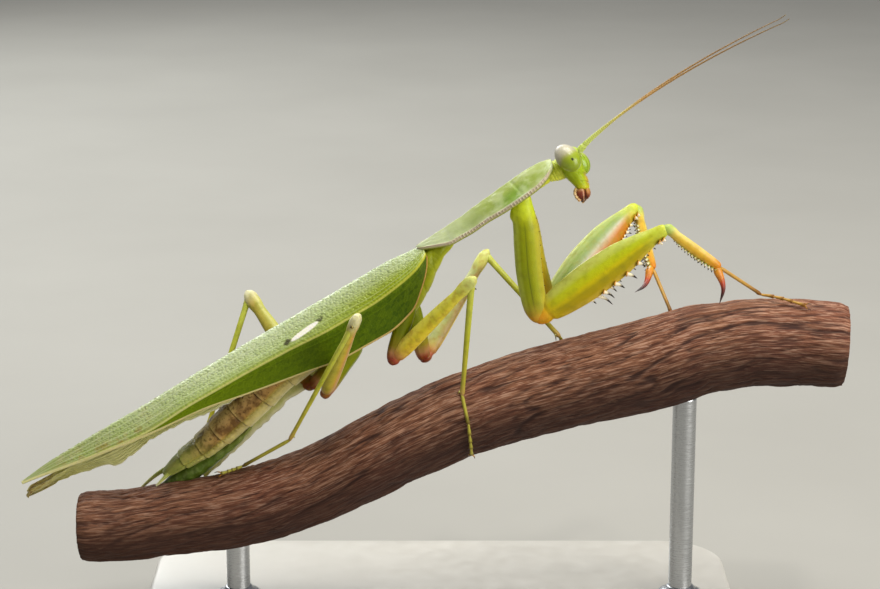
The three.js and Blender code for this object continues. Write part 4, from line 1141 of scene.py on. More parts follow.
def thin_end(first, count, inner_at, far):
    """Triangles that close the end of a folded sheet, between its outer and its inner face."""
    facing = np.abs(inner_at[None, :] - np.arange(count)[:, None]).argmin(1)
    triangles = []
    for i in range(count - 1):
        triangles.append((first + i, first + i + 1, first + count + facing[i]))
        if facing[i] != facing[i + 1]:
            triangles.append((first + i + 1, first + count + facing[i + 1], first + count + facing[i]))
    triangles = np.array(triangles)
    return triangles if far else triangles[:, ::-1]


# %% Forewing veins and cells
LONG_VEINS = [  # place across at the wing's base and tip, width in mm, height
    (0.34, 0.37, 0.08, 0.02), (0.475, 0.50, 0.07, 0.03), (0.53, 0.60, 0.07, 0.035),
    (0.60, 0.69, 0.06, 0.025), (0.67, 0.78, 0.07, 0.03), (0.75, 0.88, 0.07, 0.025),
    (0.83, 0.97, 0.06, 0.02), (0.92, 1.08, 0.06, 0.02),
]
VEIN_LEVEL = 0.06  # how high the long veins start, level with the cells between them
EDGE_LINE = {"at": 0.13, "width": 0.13, "height": 0.09}  # the thickened front margin
MAIN_LINE = {"width": 0.15, "height": 0.1}
STIGMA = {"middle": -17.25, "half": 2.25, "across": 0.5625, "slant": 0.0375, "width": 0.04}
# The stigma's dark ends are painted shadow at both ends of the raised callus.
STIGMA_SHADOW_ENDS = (-1.06, 1.08)  # the dark blotches at the stigma's ends, in half-lengths from its middle

# %% Forewing shape
def forewing(side):
    hand = SIDES[side]
    stations = np.linspace(FOREWING[0][0], FOREWING[-1][0], 660)
    rows = smooth(FOREWING, stations)
    lifts = smooth(OVERLAP_LIFT, stations)
    if side == "left":
        lifts = lifts[:, ::-1]
    sections = np.stack([across_wing(forewing_corners(row, *lift), 2, EDGE_POINTS, TOP_POINTS)
                         for row, lift in zip(rows, lifts)])
    width = np.linalg.norm(np.diff(sections, axis=1), axis=2)
    run = np.concatenate([np.zeros((len(rows), 1)), np.cumsum(width, axis=1)], 1)
    v = steps(EDGE_POINTS + TOP_POINTS)[None, :]
    along = (stations[0] - stations)[:, None]
    share = along / along.max()
    from_vein = run - run[:, EDGE_POINTS][:, None]
    side_wall, side_cell = cells(along + 0.9 * from_vein, from_vein, 0.62, 0.42, 51)
    top_wall, top_cell = cells(along - 0.4 * from_vein, from_vein, 0.52, 0.3, 52, 0.8)
    steep = ease(from_vein, 0.12, -0.05)
    wall = np.where(steep > 0.5, side_wall, top_wall)
    cell = np.where(steep > 0.5, side_cell, top_cell)
    vein = np.zeros(run.shape)
    relief = np.where(steep > 0.5, 0.02 * wall, 0.1 * (1 - wall)) + 0.06 * (cell - 0.5)
    size = run[:, -1][:, None]
    for at_base, at_tip, wide, high in LONG_VEINS:
        wave = 0.006 * np.sin(along / 3.1 + 40 * at_base)
        place = at_base + (at_tip - at_base) * share ** 1.2 + wave
        hill = bump((v - place) * size, 0, wide)
        vein = np.maximum(vein, hill * high / 0.045)
        relief = relief + (VEIN_LEVEL + high - relief) * hill
    main = bump(from_vein, 0, MAIN_LINE["width"])
    margin = np.maximum(bump(run, EDGE_LINE["at"], EDGE_LINE["width"]), run < EDGE_LINE["at"])
    relief = np.maximum(relief, MAIN_LINE["height"] * main)
    relief = np.maximum(relief, EDGE_LINE["height"] * margin)
    half = STIGMA["half"]
    ahead = (stations[:, None] - STIGMA["middle"]) / half
    slant = STIGMA["across"] + STIGMA["slant"] * ahead
    stigma = ease(1 - np.abs(ahead) ** 2.5 - ((v - slant) / STIGMA["width"]) ** 2, 0, 0.4)
    end_shadow = np.maximum(*(bump(np.hypot((ahead - end) * half / 0.75, (v - slant - 0.02) * size / 0.42), 0, 1)
                          for end in STIGMA_SHADOW_ENDS))
    # painted shadow at both ends of the stigma
    stigma_end = 0.9 * ease(end_shadow * (0.45 + 0.9 * top_cell), 0.3, 0.8) * (1 - stigma)
    relief = relief * (1 - stigma) + 0.1 * stigma
    sag = 0.05 * (field(share, v, 26, 5, 53) - 0.5) * ease(run[:, -1:], 0.5, 2.5)
    print("forewing", side, "cells", np.unique(top_cell).size)
    return film(stations, sections, hand, relief + sag, along=share, across=v, steep=steep, main=main,
                margin=margin, vein=vein, wall=wall, cell=cell, stigma=stigma, stigma_end=stigma_end)


# %% [markdown]
# The wing's colour changes mostly across it: a tan front edge, a deep green side, a pale olive main vein and
# a pale minty top. The side's depth is partly painted shade where it faces away from the light, and the
# top's paleness is partly a painted sheen from the light above. The long veins on top are lighter than the
# film beside them, the fine walls are darker on top and lighter on the side, and no two cells have quite the
# same tone; on top, pale cells between darker walls partly stand for painted glints. Towards the tail the
# top turns olive, with rusty flecks. A group holds the net of veins and cells, because both pairs of wings
# use it.

# %% Vein net shared by the wings
net_tree, inner, net_in, net_out = group(
    "vein_net", [("Film", "Color", None), ("Wall Color", "Color", None), ("Vein Color", "Color", None),
                 ("Contrast", "Float", 0.5)],
    [("Color", "Color"), ("Height", "Float")])
toned = inner.mix(inner.times(inner.span("cell", 0.1, 0.9), net_in["Contrast"]),
                  net_in["Film"], net_in["Wall Color"])
walled = inner.mix(inner.times("wall", net_in["Contrast"]), toned, net_in["Wall Color"])
veined = inner.mix(inner.span("vein", 0.1, 0.9, 0, 0.7), walled, net_in["Vein Color"])
inner.put(net_out["Color"], veined)
fine = inner.grain(9.0, 2)
inner.put(net_out["Height"], inner.maths("ADD", inner.times("wall", 0.5), fine))

# %% Forewing finish
def forewing_finish():
    made, nodes, shader = new_finish(
        "forewing_green", Subsurface_Weight=0.12, Subsurface_Radius=(0.7, 0.9, 0.1), Subsurface_Scale=0.0004,
        Coat_Roughness=0.2, Specular_IOR_Level=0.12)
    across = nodes.mark("across")
    along = nodes.mark("along")
    steep = nodes.mark("steep")
    # the roof's pale green is partly a painted sheen from the light above
    roof = nodes.ramp(across, {0.43: "#88962c", 0.46: "#99a64c", 0.52: "#abb87a", 0.7: "#bac496",
                      1: "#c0caa6"})
    roof = nodes.lay(roof, ("#93a060", along, 0.32, 0.1, 0.35))
    near_base = nodes.times(nodes.span(along, 0.42, 0.1), nodes.span(across, 0.8, 0.5))
    roof = nodes.mix(nodes.times(near_base, 0.95), roof, "#8a960c")
    roof = nodes.lay(roof, ("#828a44", along, 0.45, 0.95, 0.85))
    stain = nodes.times(nodes.span(nodes.grain(0.8, 4), 0.5, 0.7, 0, 0.6), nodes.span(along, 0.55, 0.8))
    roof = nodes.mix(stain, roof, "#a8a070")
    rusty = nodes.times(nodes.span(along, 0.66, 0.74), nodes.span(along, 0.97, 0.88))
    rusty = nodes.times(rusty, nodes.span(across, 0.66, 0.5))
    rust = nodes.span(nodes.grain(0.55, 5, 0.6), 0.48, 0.6, 0, 0.75)
    roof = nodes.mix(nodes.times(rusty, rust), roof, "#8f6f34")
    # the side's deep green is partly painted shade, as it faces away from the light
    side = nodes.ramp(along, {0: "#394a00", 0.12: "#384e00", 0.35: "#485c00", 0.6: "#5f7200",
                      0.8: "#667212", 1: "#757b38"})
    side = nodes.lay(side, ("#6d8412", across, 0.38, 0.43, 0.4))
    cloud = nodes.grain(0.35, 4)
    roof = nodes.lay(roof, ("#8ba046", cloud, 0.45, 0.7, 0.25))
    side = nodes.lay(side, ("#586c00", cloud, 0.45, 0.7, 0.3))
    film_tint = nodes.mix(steep, roof, side)
    # on the roof, darker walls round the pale cells partly stand for painted glints
    wall_tint = nodes.mix(steep, nodes.mix(0.42, roof, "#667c14"), nodes.mix(0.3, side, "#7d9400"))
    vein_tint = nodes.mix(steep, nodes.mix(0.35, roof, "#d5dcb4"), "#6f8410")
    net = use_group(nodes, net_tree, Film=film_tint, Wall_Color=wall_tint, Vein_Color=vein_tint,
                    Contrast=0.45)
    main_tint = nodes.ramp(along, {0: "#a9a82c", 0.2: "#b9b85c", 1: "#c0bf80"})
    body = nodes.mix(nodes.span("main", 0.3, 0.9, 0, 0.9), net["Color"], main_tint)
    edge_tint = nodes.ramp(along, {0: "#a87c3c", 0.12: "#b99a5c", 0.35: "#bfae74", 1: "#c3bd84"})
    body = nodes.mix(nodes.span("margin", 0.3, 0.85, 0, 0.95), body, edge_tint)
    body = nodes.mix("stigma", body, "#efe9dc")
    # painted shadow at the stigma's ends
    body = nodes.mix("stigma_end", body, "#3a3420")
    body = nodes.mix(nodes.times("inside", 0.8), body, "#9ba248")
    nodes.feed(shader, Base_Color=body,
               Roughness=nodes.mix(steep, (0.3, 0.3, 0.3, 1), (0.55, 0.55, 0.55, 1)),
               Coat_Weight=nodes.span(steep, 0, 1, 0.5, 0.0),
               Normal=nodes.bump(net["Height"], 0.35, 0.00008))
    return made


FOREWING_GREEN = forewing_finish()
for side in SIDES:
    piece(f"forewing_{side}_film", forewing(side), FOREWING_GREEN, "forewing_sheet", f"forewing_{side}")

# %% [markdown]
# ## The hindwings
# The hindwings are folded like a fan under the forewings, and only their pleated margin shows below them.
# The pleats run lengthwise, the film is thin and yellowish, and its lower edge is uneven. The left one hangs
# a little open, so that its pale edge shows below the abdomen.

# %% Hindwing shape
FRINGE = [  # distance behind the base, height of the lower edge
    [10.5, -3.6], [17, -4.9], [26, -4.5], [32, -4.5], [34, -4.3], [37, -3.8], [41, -3.7], [45.5, -4.5],
    [47.6, -4.75], [48.2, -4.2], [51, -3.5], [54, -2.95], [57.4, -2.8], [59.6, -2.55],
]
BLADE = [  # distance behind the base, depth left
    [51, 4.0], [53.5, 1.5], [55.5, 0.85], [58.6, 0.7], [59.6, 0.12],
]
HINDWING_INSET = 0.84
HINDWING_MIDDLE = 0.45
HINDWING_POINTS = (46, 20)
PLEATS, FAR_PLEATS = 9, 6


def hindwing_corners(row, edge, tail, depth):
    wide, _, vein_wide, vein_high, middle, _ = row
    inset = min(HINDWING_INSET, wide * 0.55)
    side = vein_high - 0.5 - 0.5 * tail
    shoulder = vein_high * 0.33 + middle * 0.67 - 1.1
    top = middle - 1.1
    if tail > 0:
        shoulder = max(shoulder, side + 0.1)
        top = max(top, shoulder + 0.1)
    side = min(side, edge + depth * 0.5)
    shoulder = min(shoulder, edge + depth * 0.8)
    top = min(top, edge + depth)
    places = (wide, (wide + vein_wide) / 2, vein_wide)
    outer, halfway, at_side = (max(y - inset, HINDWING_MIDDLE) for y in places)
    return np.array([(outer, edge), (halfway, (edge + side) / 2), (at_side, side),
                     (max(vein_wide * 0.45, 0.56), shoulder), (HINDWING_MIDDLE, top)])


def pleated(stations, sections, hand, fan, rise, sink, sheet, seed, hem, along):
    """A film in lengthwise pleats. fan counts them, sheet is its size, and hem its pale lower edge."""
    v = steps(sections.shape[1])[None, :]
    share = steps(len(stations))[:, None]
    pleat = np.abs(2 * (fan % 1) - 1)
    wall, cell = cells(share * sheet[0], v * sheet[1], 0.7, 0.3, seed)
    relief = rise * pleat - sink + 0.012 * wall
    return film(stations, sections, hand, relief, along=along, across=v, pleat=pleat, wall=wall, cell=cell,
                vein=ease(pleat, 0.8, 1.0), edge=ease(v, *hem))

# %% The left hindwing's open margin
FAR_MARGIN = [  # distance behind the base, height of the lower edge and of the top
    [14, -8.6, -4.2], [15.5, -10.1, -4.2], [20, -10.3, -4.2], [24, -10.3, -4.2], [29, -11.5, -4.2],
    [31, -11.9, -4.5], [33, -12.4, -6.4], [37, -13.3, -9.9], [40.2, -13.9, -13.4],
]


def far_margin():
    """The part of the left hindwing that hangs open behind the abdomen."""
    stations = np.linspace(-FAR_MARGIN[0][0], -FAR_MARGIN[-1][0], 260)
    low, top = smooth(FAR_MARGIN, -stations).T
    low = low + 0.25 * (field((-stations - 14) / 27, 0, 40, 1, 65) - 0.5)
    v = steps(sum(HINDWING_POINTS))[None, :]
    share = steps(len(stations))[:, None]
    height = low[:, None] + (top - low)[:, None] * v
    beside = 2.5 + 0.3 * np.sin(math.pi * v) + 0.1 * v + 0 * share
    fan = v * FAR_PLEATS + 0.35 * field(share, v, 7, 3, 66)
    return pleated(stations, np.stack([beside, height], 2), 1, fan, 0.1, 0.07, (27, 8), 67, (0.1, 0.02), 0.3)

# %% Both hindwings
def hindwing(side):
    hand = SIDES[side]
    stations = np.linspace(-FRINGE[0][0], -FRINGE[-1][0], 420)
    edge = smooth(FRINGE, -stations)[:, 0]
    ragged = 0.22 * (field((-stations - 10) / 48, 0, 80, 1, 61) - 0.5)
    ragged += 0.5 * np.maximum(0, field((-stations - 10) / 48, 0, 34, 1, 62 + hand) - 0.72)
    ragged *= ease(-stations, 57, 54)
    depths = smooth(BLADE, -stations)[:, 0]
    rows = smooth(FOREWING, stations)
    sections = np.stack([
        across_wing(hindwing_corners(row, low + rough, tail, depth), 2, *HINDWING_POINTS)
        for row, low, rough, tail, depth in zip(rows, edge, ragged, ease(-stations, 41, 49), depths)])
    v = steps(sum(HINDWING_POINTS))[None, :]
    share = steps(len(stations))[:, None]
    fan = v * PLEATS * (1 - 0.35 * share) + 0.35 * field(share, v, 9, 3, 63)
    return pleated(stations, sections, hand, fan, 0.14, 0.1, (48, 5), 64, (0.07, 0.01), share)


# %% Hindwing finish
def hindwing_finish():
    made, nodes, shader = new_finish(
        "hindwing_pale", Roughness=0.4, Subsurface_Weight=0.25, Subsurface_Radius=(1.0, 0.9, 0.5),
        Subsurface_Scale=0.0005, Specular_IOR_Level=0.35)
    film_tint = nodes.ramp("along", {0: "#939c44", 0.4: "#a9ab6a", 0.8: "#a9a86c",
                           0.9: "#96924a", 0.94: "#7a5f22", 1: "#5d3c14"})
    film_tint = nodes.lay(film_tint, ("#868248", nodes.grain(0.7, 4), 0.45, 0.68, 0.5))
    net = use_group(nodes, net_tree, Film=film_tint, Contrast=0.35, Wall_Color=colour("#c3bf86"),
                    Vein_Color=colour("#c9c48c"))
    # painted shade, darker in the pleats' valleys
    body = nodes.mix(nodes.span("pleat", 0.25, 0.0, 0, 0.25), net["Color"], "#8a8644")
    body = nodes.mix(nodes.times("edge", nodes.span("along", 0.9, 0.8, 0, 0.7)), body, "#cdc8b4")
    nodes.feed(shader, Base_Color=body, Normal=nodes.bump(net["Height"], 0.3, 0.00006))
    return made


HINDWING_PALE = hindwing_finish()
for side in SIDES:
    sheets = [hindwing(side)] + ([far_margin()] if side == "left" else [])
    piece(f"hindwing_{side}_film", sheets, HINDWING_PALE, "hindwing_sheet", f"hindwing_{side}")
print("pieces so far:", len(PIECES), "faces", sum(count for _, count in PIECES))

# %% [markdown]
# ## Legs: joints, segments and thorns
# Every leg has the same parts: coxa, femur, tibia and a foot of five pieces. The joints are measured on the
# solids, from the body outwards. A segment is a tube whose height follows the plane of the knee's bend.
# Thorns are thin curved cones. They grow from their segment, so they're part of its mesh.

# %% Leg helpers
OVERSHOOT = {"fore": 1.05, "mid": 1.03, "hind": 1.03}  # how far each coxa's solid runs past its joint
FEMUR_OVERSHOOT = 1.03


def leg_joints(place, side):
    """The root, trochanter, knee and ankle of a leg."""
    coxa, femur, tibia = (f"{place}_{kind}_{side}" for kind in ("coxa", "femur", "tibia"))
    points, next_points = solid(coxa)[0], solid(femur)[0]
    apart = np.linalg.norm(points[:, None] - next_points[None], axis=2).min(1)
    away = np.linalg.norm(points - points[apart.argmin()], axis=1)
    root = points[away > away.max() - 0.5].mean(0)
    trochanter = root + (far_end(coxa, root) - root) / OVERSHOOT[place]
    knee = trochanter + (far_end(femur, trochanter) - trochanter) / FEMUR_OVERSHOOT
    return root, trochanter, knee, far_end(tibia, knee)


def leg_axes(root, trochanter, knee, ankle):
    """The upward side of the coxa, femur and tibia, in the plane of the knee's bend."""
    hinge = unit(np.cross(knee - trochanter, ankle - knee))
    return [np.cross(unit(b - a), hinge) for a, b in ((root, trochanter), (trochanter, knee), (knee, ankle))]


def ridge_relief(count, sides, ridges):
    """Long ridges and grooves on a segment: angle in turns, width in turns, and height in millimetres."""
    turn = (np.arange(sides) / sides)[None, :]
    relief = np.zeros((count, sides))
    for at, width, height in ridges:
        apart = np.abs((turn - at + 0.5) % 1 - 0.5)
        relief = relief + height * np.exp(-((apart / width) ** 2))
    return relief


def segment(a, b, rows, up, count, sides, ridges=(), fade=((0, 1), (1, 1))):
    """A leg segment from rows of share, half-width, half-height and lift. The mark inner faces the body."""
    t = np.linspace(rows[0][0], rows[-1][0], count)
    w, h, lift = smooth(rows, t).T
    line = a + t[:, None] * (b - a)
    facing = -np.sign(np.cross(up, b - a)[1] * (a + b)[1])
    inner = facing * np.cos(round_angles(sides))[None, :]
    relief = ridge_relief(count, sides, ridges) * smooth(fade, steps(count))
    return tube(line, w, h, up, sides, lift, relief=relief, share=t[:, None], inner=inner)

# %% Thorns
THORN_RINGS, THORN_SIDES = 10, 10
THORN_UP = vec(0.31, 0.72, 0.62)  # a direction that no thorn runs along


def thorn(root, tip, radius, sway):
    """A curved cone. The mark called tip runs from 0 at its root to 1 at its point."""
    line = bend([root, (root + tip) / 2 + sway, tip], THORN_RINGS)
    share = steps(THORN_RINGS)
    taper = radius * (1 - share) ** 0.75 + 0.015
    taper[0] *= 1.5
    return tube(line, taper, taper, THORN_UP, THORN_SIDES, tip=share[:, None])


def thorn_row(a, b, rows, up, starts, length, aside, lean, radius):
    """Thorns along a segment's inner edge. starts holds each one's share along, and its relative length."""
    along = unit(b - a)
    side = unit(np.cross(up, along))
    over = np.cross(along, side)
    made = []
    for share, size in starts:
        w, h, lift = smooth(rows, share)[0]
        root = a + share * (b - a) + over * (lift - 0.86 * h) + side * aside * w * 0.62
        tip = root - over * (length * size + 0.12 * h) + side * aside * 0.28 * length * size
        tip = tip + along * lean * length * size
        made.append(thorn(root, tip, radius * (0.7 + 0.3 * size), along * 0.12 * length * size))
    return made


def even(low, high, count, sizes=(1.0,)):
    """Evenly spaced shares, with relative lengths that repeat."""
    return [(share, sizes[i % len(sizes)]) for i, share in enumerate(np.linspace(low, high, count))]


# %% [markdown]
# ## Feet
# The foot has one long piece and four short ones, each a little wider at its far end, with a pair of curved
# claws at the tip. It runs from the ankle to the bark and bends round the branch, as the solid does.

# %% Foot shape
FOOT_SHARES = [0, 0.3, 0.52, 0.72, 1]  # where the four short pieces end, from heel to tip
FOOT_WAIST, FOOT_PAD = 0.17, 0.3
FOOT_CLAW = 0.85
FOOT_RINGS = 260


def foot_line(name, ankle):
    """The foot's centre line, straight from ankle to heel and then round the bark, and the heel's share."""
    points, _ = solid(name)
    distance = np.linalg.norm(points - ankle, axis=1)
    order = np.argsort(np.where(distance > 0.6, distance, 99))[:5]
    line, _ = follow(name, ankle, unit(points[order].mean(0) - ankle), 0.35, 1.1)
    line = line[:-2]
    straight = unit(line[-1] - ankle)
    sideways = np.linalg.norm(np.cross(line - ankle, straight), axis=1)
    heel = int(sideways.argmax())
    first = ankle + steps(9)[:, None] * (line[heel] - ankle)
    line = np.concatenate([first, line[heel + 2::2]])
    run = chord(line)
    return line, run[8] / run[-1]


def foot(name, ankle):
    line, heel = foot_line(name, ankle)
    line = bend(line, FOOT_RINGS)
    share = steps(FOOT_RINGS)
    ends = np.array([0] + [heel + (1 - heel) * share for share in FOOT_SHARES])
    number = np.clip(np.searchsorted(ends, share, "right") - 1, 0, 4)
    within = (share - ends[number]) / (ends[number + 1] - ends[number])
    radius = FOOT_WAIST + (FOOT_PAD - FOOT_WAIST) * within ** 2
    radius = np.where(number == 0, 0.26 - 0.03 * within + 0.06 * ease(within, 0.85, 0.97), radius)
    radius = radius * (1 - 0.45 * ease(within, 0.93, 1.0)) * (1 - 0.25 * bump(within, 0, 0.06))
    last = line[-1]
    along = unit(last - line[-14])
    up = unit(np.cross(along, vec(0.3, 0.9, 0.3)))
    parts = [tube(line, radius, radius * 0.92, up, 24, pad=within[:, None])]
    for hand in (-1, 1):
        tip = last + along * FOOT_CLAW + up * hand * 0.42
        parts.append(thorn(last - along * 0.12, tip, 0.1, up * hand * 0.16))
    print(name, "heel at", round(float(heel), 2))
    return parts


# %% [markdown]
# ## The forelegs
# The raptorial legs are the mantis's tools: a long coxa with a row of tiny teeth, a swollen femur with three
# rows of thorns, and a short tibia that snaps back against it and ends in a hooked claw. The thorns are pale
# at the root and dark at the point. The claw is its own hard piece.

# %% Foreleg shapes
FORE_COXA = [  # share along, half-width, half-height, lift
    [-0.1, 0.35, 0.75, 0.15], [-0.06, 0.6, 1.0, 0.05], [0.0, 0.75, 1.2, -0.1], [0.05, 0.85, 1.4, -0.2],
    [0.09, 0.9, 1.46, -0.22], [0.13, 0.95, 1.36, -0.1], [0.2, 1.05, 1.44, -0.05],
    [0.34, 1.12, 1.52, -0.16], [0.58, 1.1, 1.52, -0.34], [0.8, 1.04, 1.48, -0.26],
    [0.93, 0.94, 1.36, -0.12], [1.0, 0.75, 1.05, -0.03], [1.04, 0.4, 0.55, 0], [1.05, 0.1, 0.12, 0],
]
FORE_FEMUR = [  # the columns of FORE_COXA, as in every leg table
    [-0.035, 0.12, 0.15, 0], [-0.02, 0.55, 0.8, 0], [0.02, 0.82, 1.25, 0], [0.055, 0.86, 1.38, 0],
    [0.075, 0.8, 1.32, 0], [0.1, 0.9, 1.62, 0], [0.2, 1.1, 2.0, 0], [0.42, 1.22, 2.3, 0.05],
    [0.64, 1.08, 2.1, 0.1], [0.82, 0.82, 1.42, 0.15], [0.92, 0.66, 1.0, 0.08], [0.97, 0.64, 0.92, 0],
    [1.0, 0.58, 0.78, 0], [1.02, 0.4, 0.5, 0], [1.03, 0.1, 0.12, 0],
]
FORE_TIBIA = [
    [-0.05, 0.2, 0.25, 0.1], [-0.02, 0.42, 0.52, 0.2], [0.04, 0.52, 0.7, 0.32], [0.12, 0.48, 0.66, 0.32],
    [0.2, 0.48, 0.62, 0.2], [0.34, 0.5, 0.68, 0.12], [0.55, 0.5, 0.72, 0.04], [0.82, 0.46, 0.64, 0],
    [0.96, 0.4, 0.5, 0], [1.0, 0.22, 0.28, 0],
]

# %% Foreleg segments
def fore_coxa(a, b, up):
    ridges = [(0.75, 0.03, 0.13), (0.25, 0.04, 0.1), (0.62, 0.05, -0.08), (0.88, 0.05, -0.08)]
    fade = [[0, 0], [0.15, 1], [0.85, 1], [1, 0]]
    parts = [segment(a, b, FORE_COXA, up, 140, 48, ridges, fade)]
    front = [[share, w, h, -lift] for share, w, h, lift in FORE_COXA]
    parts += thorn_row(a, b, front, -up, even(0.12, 0.92, 21, (1.0, 0.5, 0.7)), 0.24, 0.0, 0.2, 0.15)
    return parts


def fore_femur(a, b, up):
    ridges = [(0.25, 0.025, 0.12), (0.75, 0.05, -0.3), (0.68, 0.03, 0.12), (0.82, 0.03, 0.12),
              (0.02, 0.05, -0.05), (0.48, 0.05, -0.05)]
    fade = [[0, 0], [0.14, 0.3], [0.35, 1], [0.85, 0.9], [0.95, 0.2], [1, 0]]
    parts = [segment(a, b, FORE_FEMUR, up, 200, 56, ridges, fade)]
    parts += thorn_row(a, b, FORE_FEMUR, up, [(0.34, 0.45), (0.39, 1.25), (0.44, 0.9), (0.49, 0.6)],
                       1.6, 0.1, 0.5, 0.24)
    inner, outer = (1, -1) if np.cross(up, b - a)[1] * (a + b)[1] < 0 else (-1, 1)
    parts += thorn_row(a, b, FORE_FEMUR, up, even(0.43, 0.86, 15, (1.0, 0.5)), 0.54, inner, 0.7, 0.19)
    parts += thorn_row(a, b, FORE_FEMUR, up, [(0.45, 0.8), (0.54, 1.15), (0.64, 1.2), (0.74, 0.9)],
                       0.8, outer, 0.8, 0.27)
    for aside in (-1, 1):  # the small pointed lobes beside the knee
        for lobe in thorn_row(a, b, FORE_FEMUR, up, [(0.93, 1.0), (0.96, 0.8)], 0.42, aside, 0.35, 0.34):
            lobe[2]["tip"] = lobe[2]["tip"] * 0.4
            parts.append(lobe)
    return parts


def fore_tibia(a, b, up):
    parts = [segment(a, b, FORE_TIBIA, up, 110, 40, [(0.25, 0.05, 0.05), (0.75, 0.06, -0.08)])]
    for low, high, count, aside in ((0.22, 0.95, 15, 1.0), (0.3, 0.96, 12, -1.0)):
        growing = [(share, 0.45 + 0.75 * (share - low)) for share in np.linspace(low, high, count)]
        parts += thorn_row(a, b, FORE_TIBIA, up, growing, 0.52, aside, 0.6, 0.17)
    return parts

# %% The hook
HOOK_POINT = 0.45  # how far the hook's needle point runs on past its solid
HOOK_RINGS = 90
HOOK = [[0, 0.46], [0.12, 0.55], [0.3, 0.44], [0.5, 0.32], [0.75, 0.19], [1, 0.02]]  # share along, radius


def fore_claw(name, ankle, knee, up):
    points, _ = solid(name)
    tip = points[np.linalg.norm(points - ankle, axis=1).argmax()]
    tip = tip + HOOK_POINT * unit(tip - ankle)
    onward = unit(ankle - knee)
    root = ankle - 0.25 * up - onward * 0.3
    belly = (root + tip) / 2 + onward * 0.8
    line = bend([root, belly, tip], HOOK_RINGS)
    share = steps(HOOK_RINGS)
    radius = smooth(HOOK, share)[:, 0]
    return tube(line, radius * 0.82, radius, onward, 32, tip=share[:, None])


# %% [markdown]
# ## The walking legs
# The middle and hind legs are slender: a short thick coxa, a femur that tapers to a small knee lobe with a
# spur, a thin tibia with two spurs at its end, and a thin foot.

# %% Walking leg shapes
WALK_COXA = [
    [0, 0.65, 0.85, 0], [0.08, 0.85, 1.05, 0], [0.2, 0.9, 1.1, 0], [0.45, 0.82, 1.02, 0],
    [0.72, 0.8, 1.0, 0], [0.88, 0.74, 0.9, 0], [0.97, 0.6, 0.72, 0], [1.02, 0.32, 0.4, 0],
    [1.03, 0.08, 0.1, 0],
]
WALK_FEMUR = [
    [-0.03, 0.1, 0.12, 0], [-0.01, 0.45, 0.55, 0], [0.03, 0.58, 0.78, 0], [0.06, 0.52, 0.7, 0],
    [0.09, 0.6, 0.88, 0], [0.2, 0.66, 0.98, 0], [0.4, 0.64, 0.93, 0], [0.65, 0.56, 0.8, 0],
    [0.83, 0.48, 0.66, 0], [0.91, 0.54, 0.78, 0], [0.97, 0.54, 0.76, 0], [1.02, 0.42, 0.54, 0],
    [1.05, 0.1, 0.14, 0],
]
STOUTNESS = {"mid": 1.08, "hind": 1.25}
WALK_TIBIA = [
    [-0.02, 0.2, 0.25, 0], [0.01, 0.4, 0.5, 0], [0.04, 0.38, 0.48, 0], [0.1, 0.33, 0.42, 0],
    [0.3, 0.32, 0.4, 0], [0.6, 0.29, 0.35, 0], [0.9, 0.25, 0.3, 0], [0.97, 0.28, 0.33, 0],
    [1.0, 0.18, 0.2, 0],
]

# %% Walking leg segments
def walk_coxa(a, b, up):
    ridges = [(0.25, 0.05, 0.08), (0.5, 0.04, -0.06), (0.0, 0.04, -0.06)]
    return segment(a, b, WALK_COXA, up, 90, 40, ridges)


def walk_femur(a, b, up, stout):
    ridges = [(0.25, 0.05, 0.05), (0.75, 0.06, -0.06), (0.02, 0.05, -0.04), (0.48, 0.05, -0.04)]
    rows = [[share, w * stout, h * stout, lift] for share, w, h, lift in WALK_FEMUR]
    parts = [segment(a, b, rows, up, 150, 36, ridges)]
    parts += thorn_row(a, b, rows, up, [(0.96, 1.0)], 0.3, 0.4, 0.9, 0.16)
    return parts


def walk_tibia(a, b, up):
    parts = [segment(a, b, WALK_TIBIA, up, 160, 28)]
    for aside in (-1, 1):
        parts += thorn_row(a, b, WALK_TIBIA, up, [(0.965, 1.0)], 0.34, aside, 1.6, 0.08)
    return parts


# %% [markdown]
# ## Leg finishes
# The forelegs are golden green and go yellow towards the knee, with a warm inner face. Their tibiae are
# straw yellow and orange, their feet a browner straw, and the hooks run from orange through red to black.
# The walking legs are yellow green, and reddish where coxa and femur meet. One group darkens every thorn's
# point.

# %% Thorn points, shared by all the legs
thorn_tree, inner, thorn_in, thorn_out = group(
    "thorn_points", [("Color", "Color", None), ("Root Color", "Color", None)], [("Color", "Color")])
at_root = inner.mix(inner.span("tip", 0.02, 0.2), thorn_in["Color"], thorn_in["Root Color"])
inner.put(thorn_out["Color"], inner.mix(inner.span("tip", 0.35, 0.72), at_root, "#1d0d08"))

# %% Leg tints
def leg_tint(along, thorn_root, over=None, veil=0.6, inner=None, streak_tint="#8a8600", streaks=0.25):
    """A colour along a segment, shaded over its height and on its inner face, with dark thorn points."""
    def tint(nodes):
        body = nodes.ramp("share", along)
        height = nodes.span("over", -1, 1)
        middle = nodes.times(nodes.span("share", 0.04, 0.2), nodes.span("share", 1.0, 0.8))
        if over:
            body = nodes.mix(nodes.times(middle, veil), body, nodes.ramp(height, over))
        if inner:
            inward = nodes.times(nodes.span("inner", 0.0, 0.5), middle)
            body = nodes.mix(nodes.times(inward, 0.92), body, nodes.ramp(height, inner))
        body = nodes.lay(body, (streak_tint, nodes.grain(1.3, 3), 0.45, 0.7, streaks))
        return use_group(nodes, thorn_tree, Color=body, Root_Color=colour(thorn_root))["Color"]
    return tint


def foot_tint(pale, dark):
    def tint(nodes):
        body = nodes.mix(nodes.span("pad", 0.55, 0.95), colour(pale), dark)
        return use_group(nodes, thorn_tree, Color=body, Root_Color=colour("#a8742c"))["Color"]
    return tint


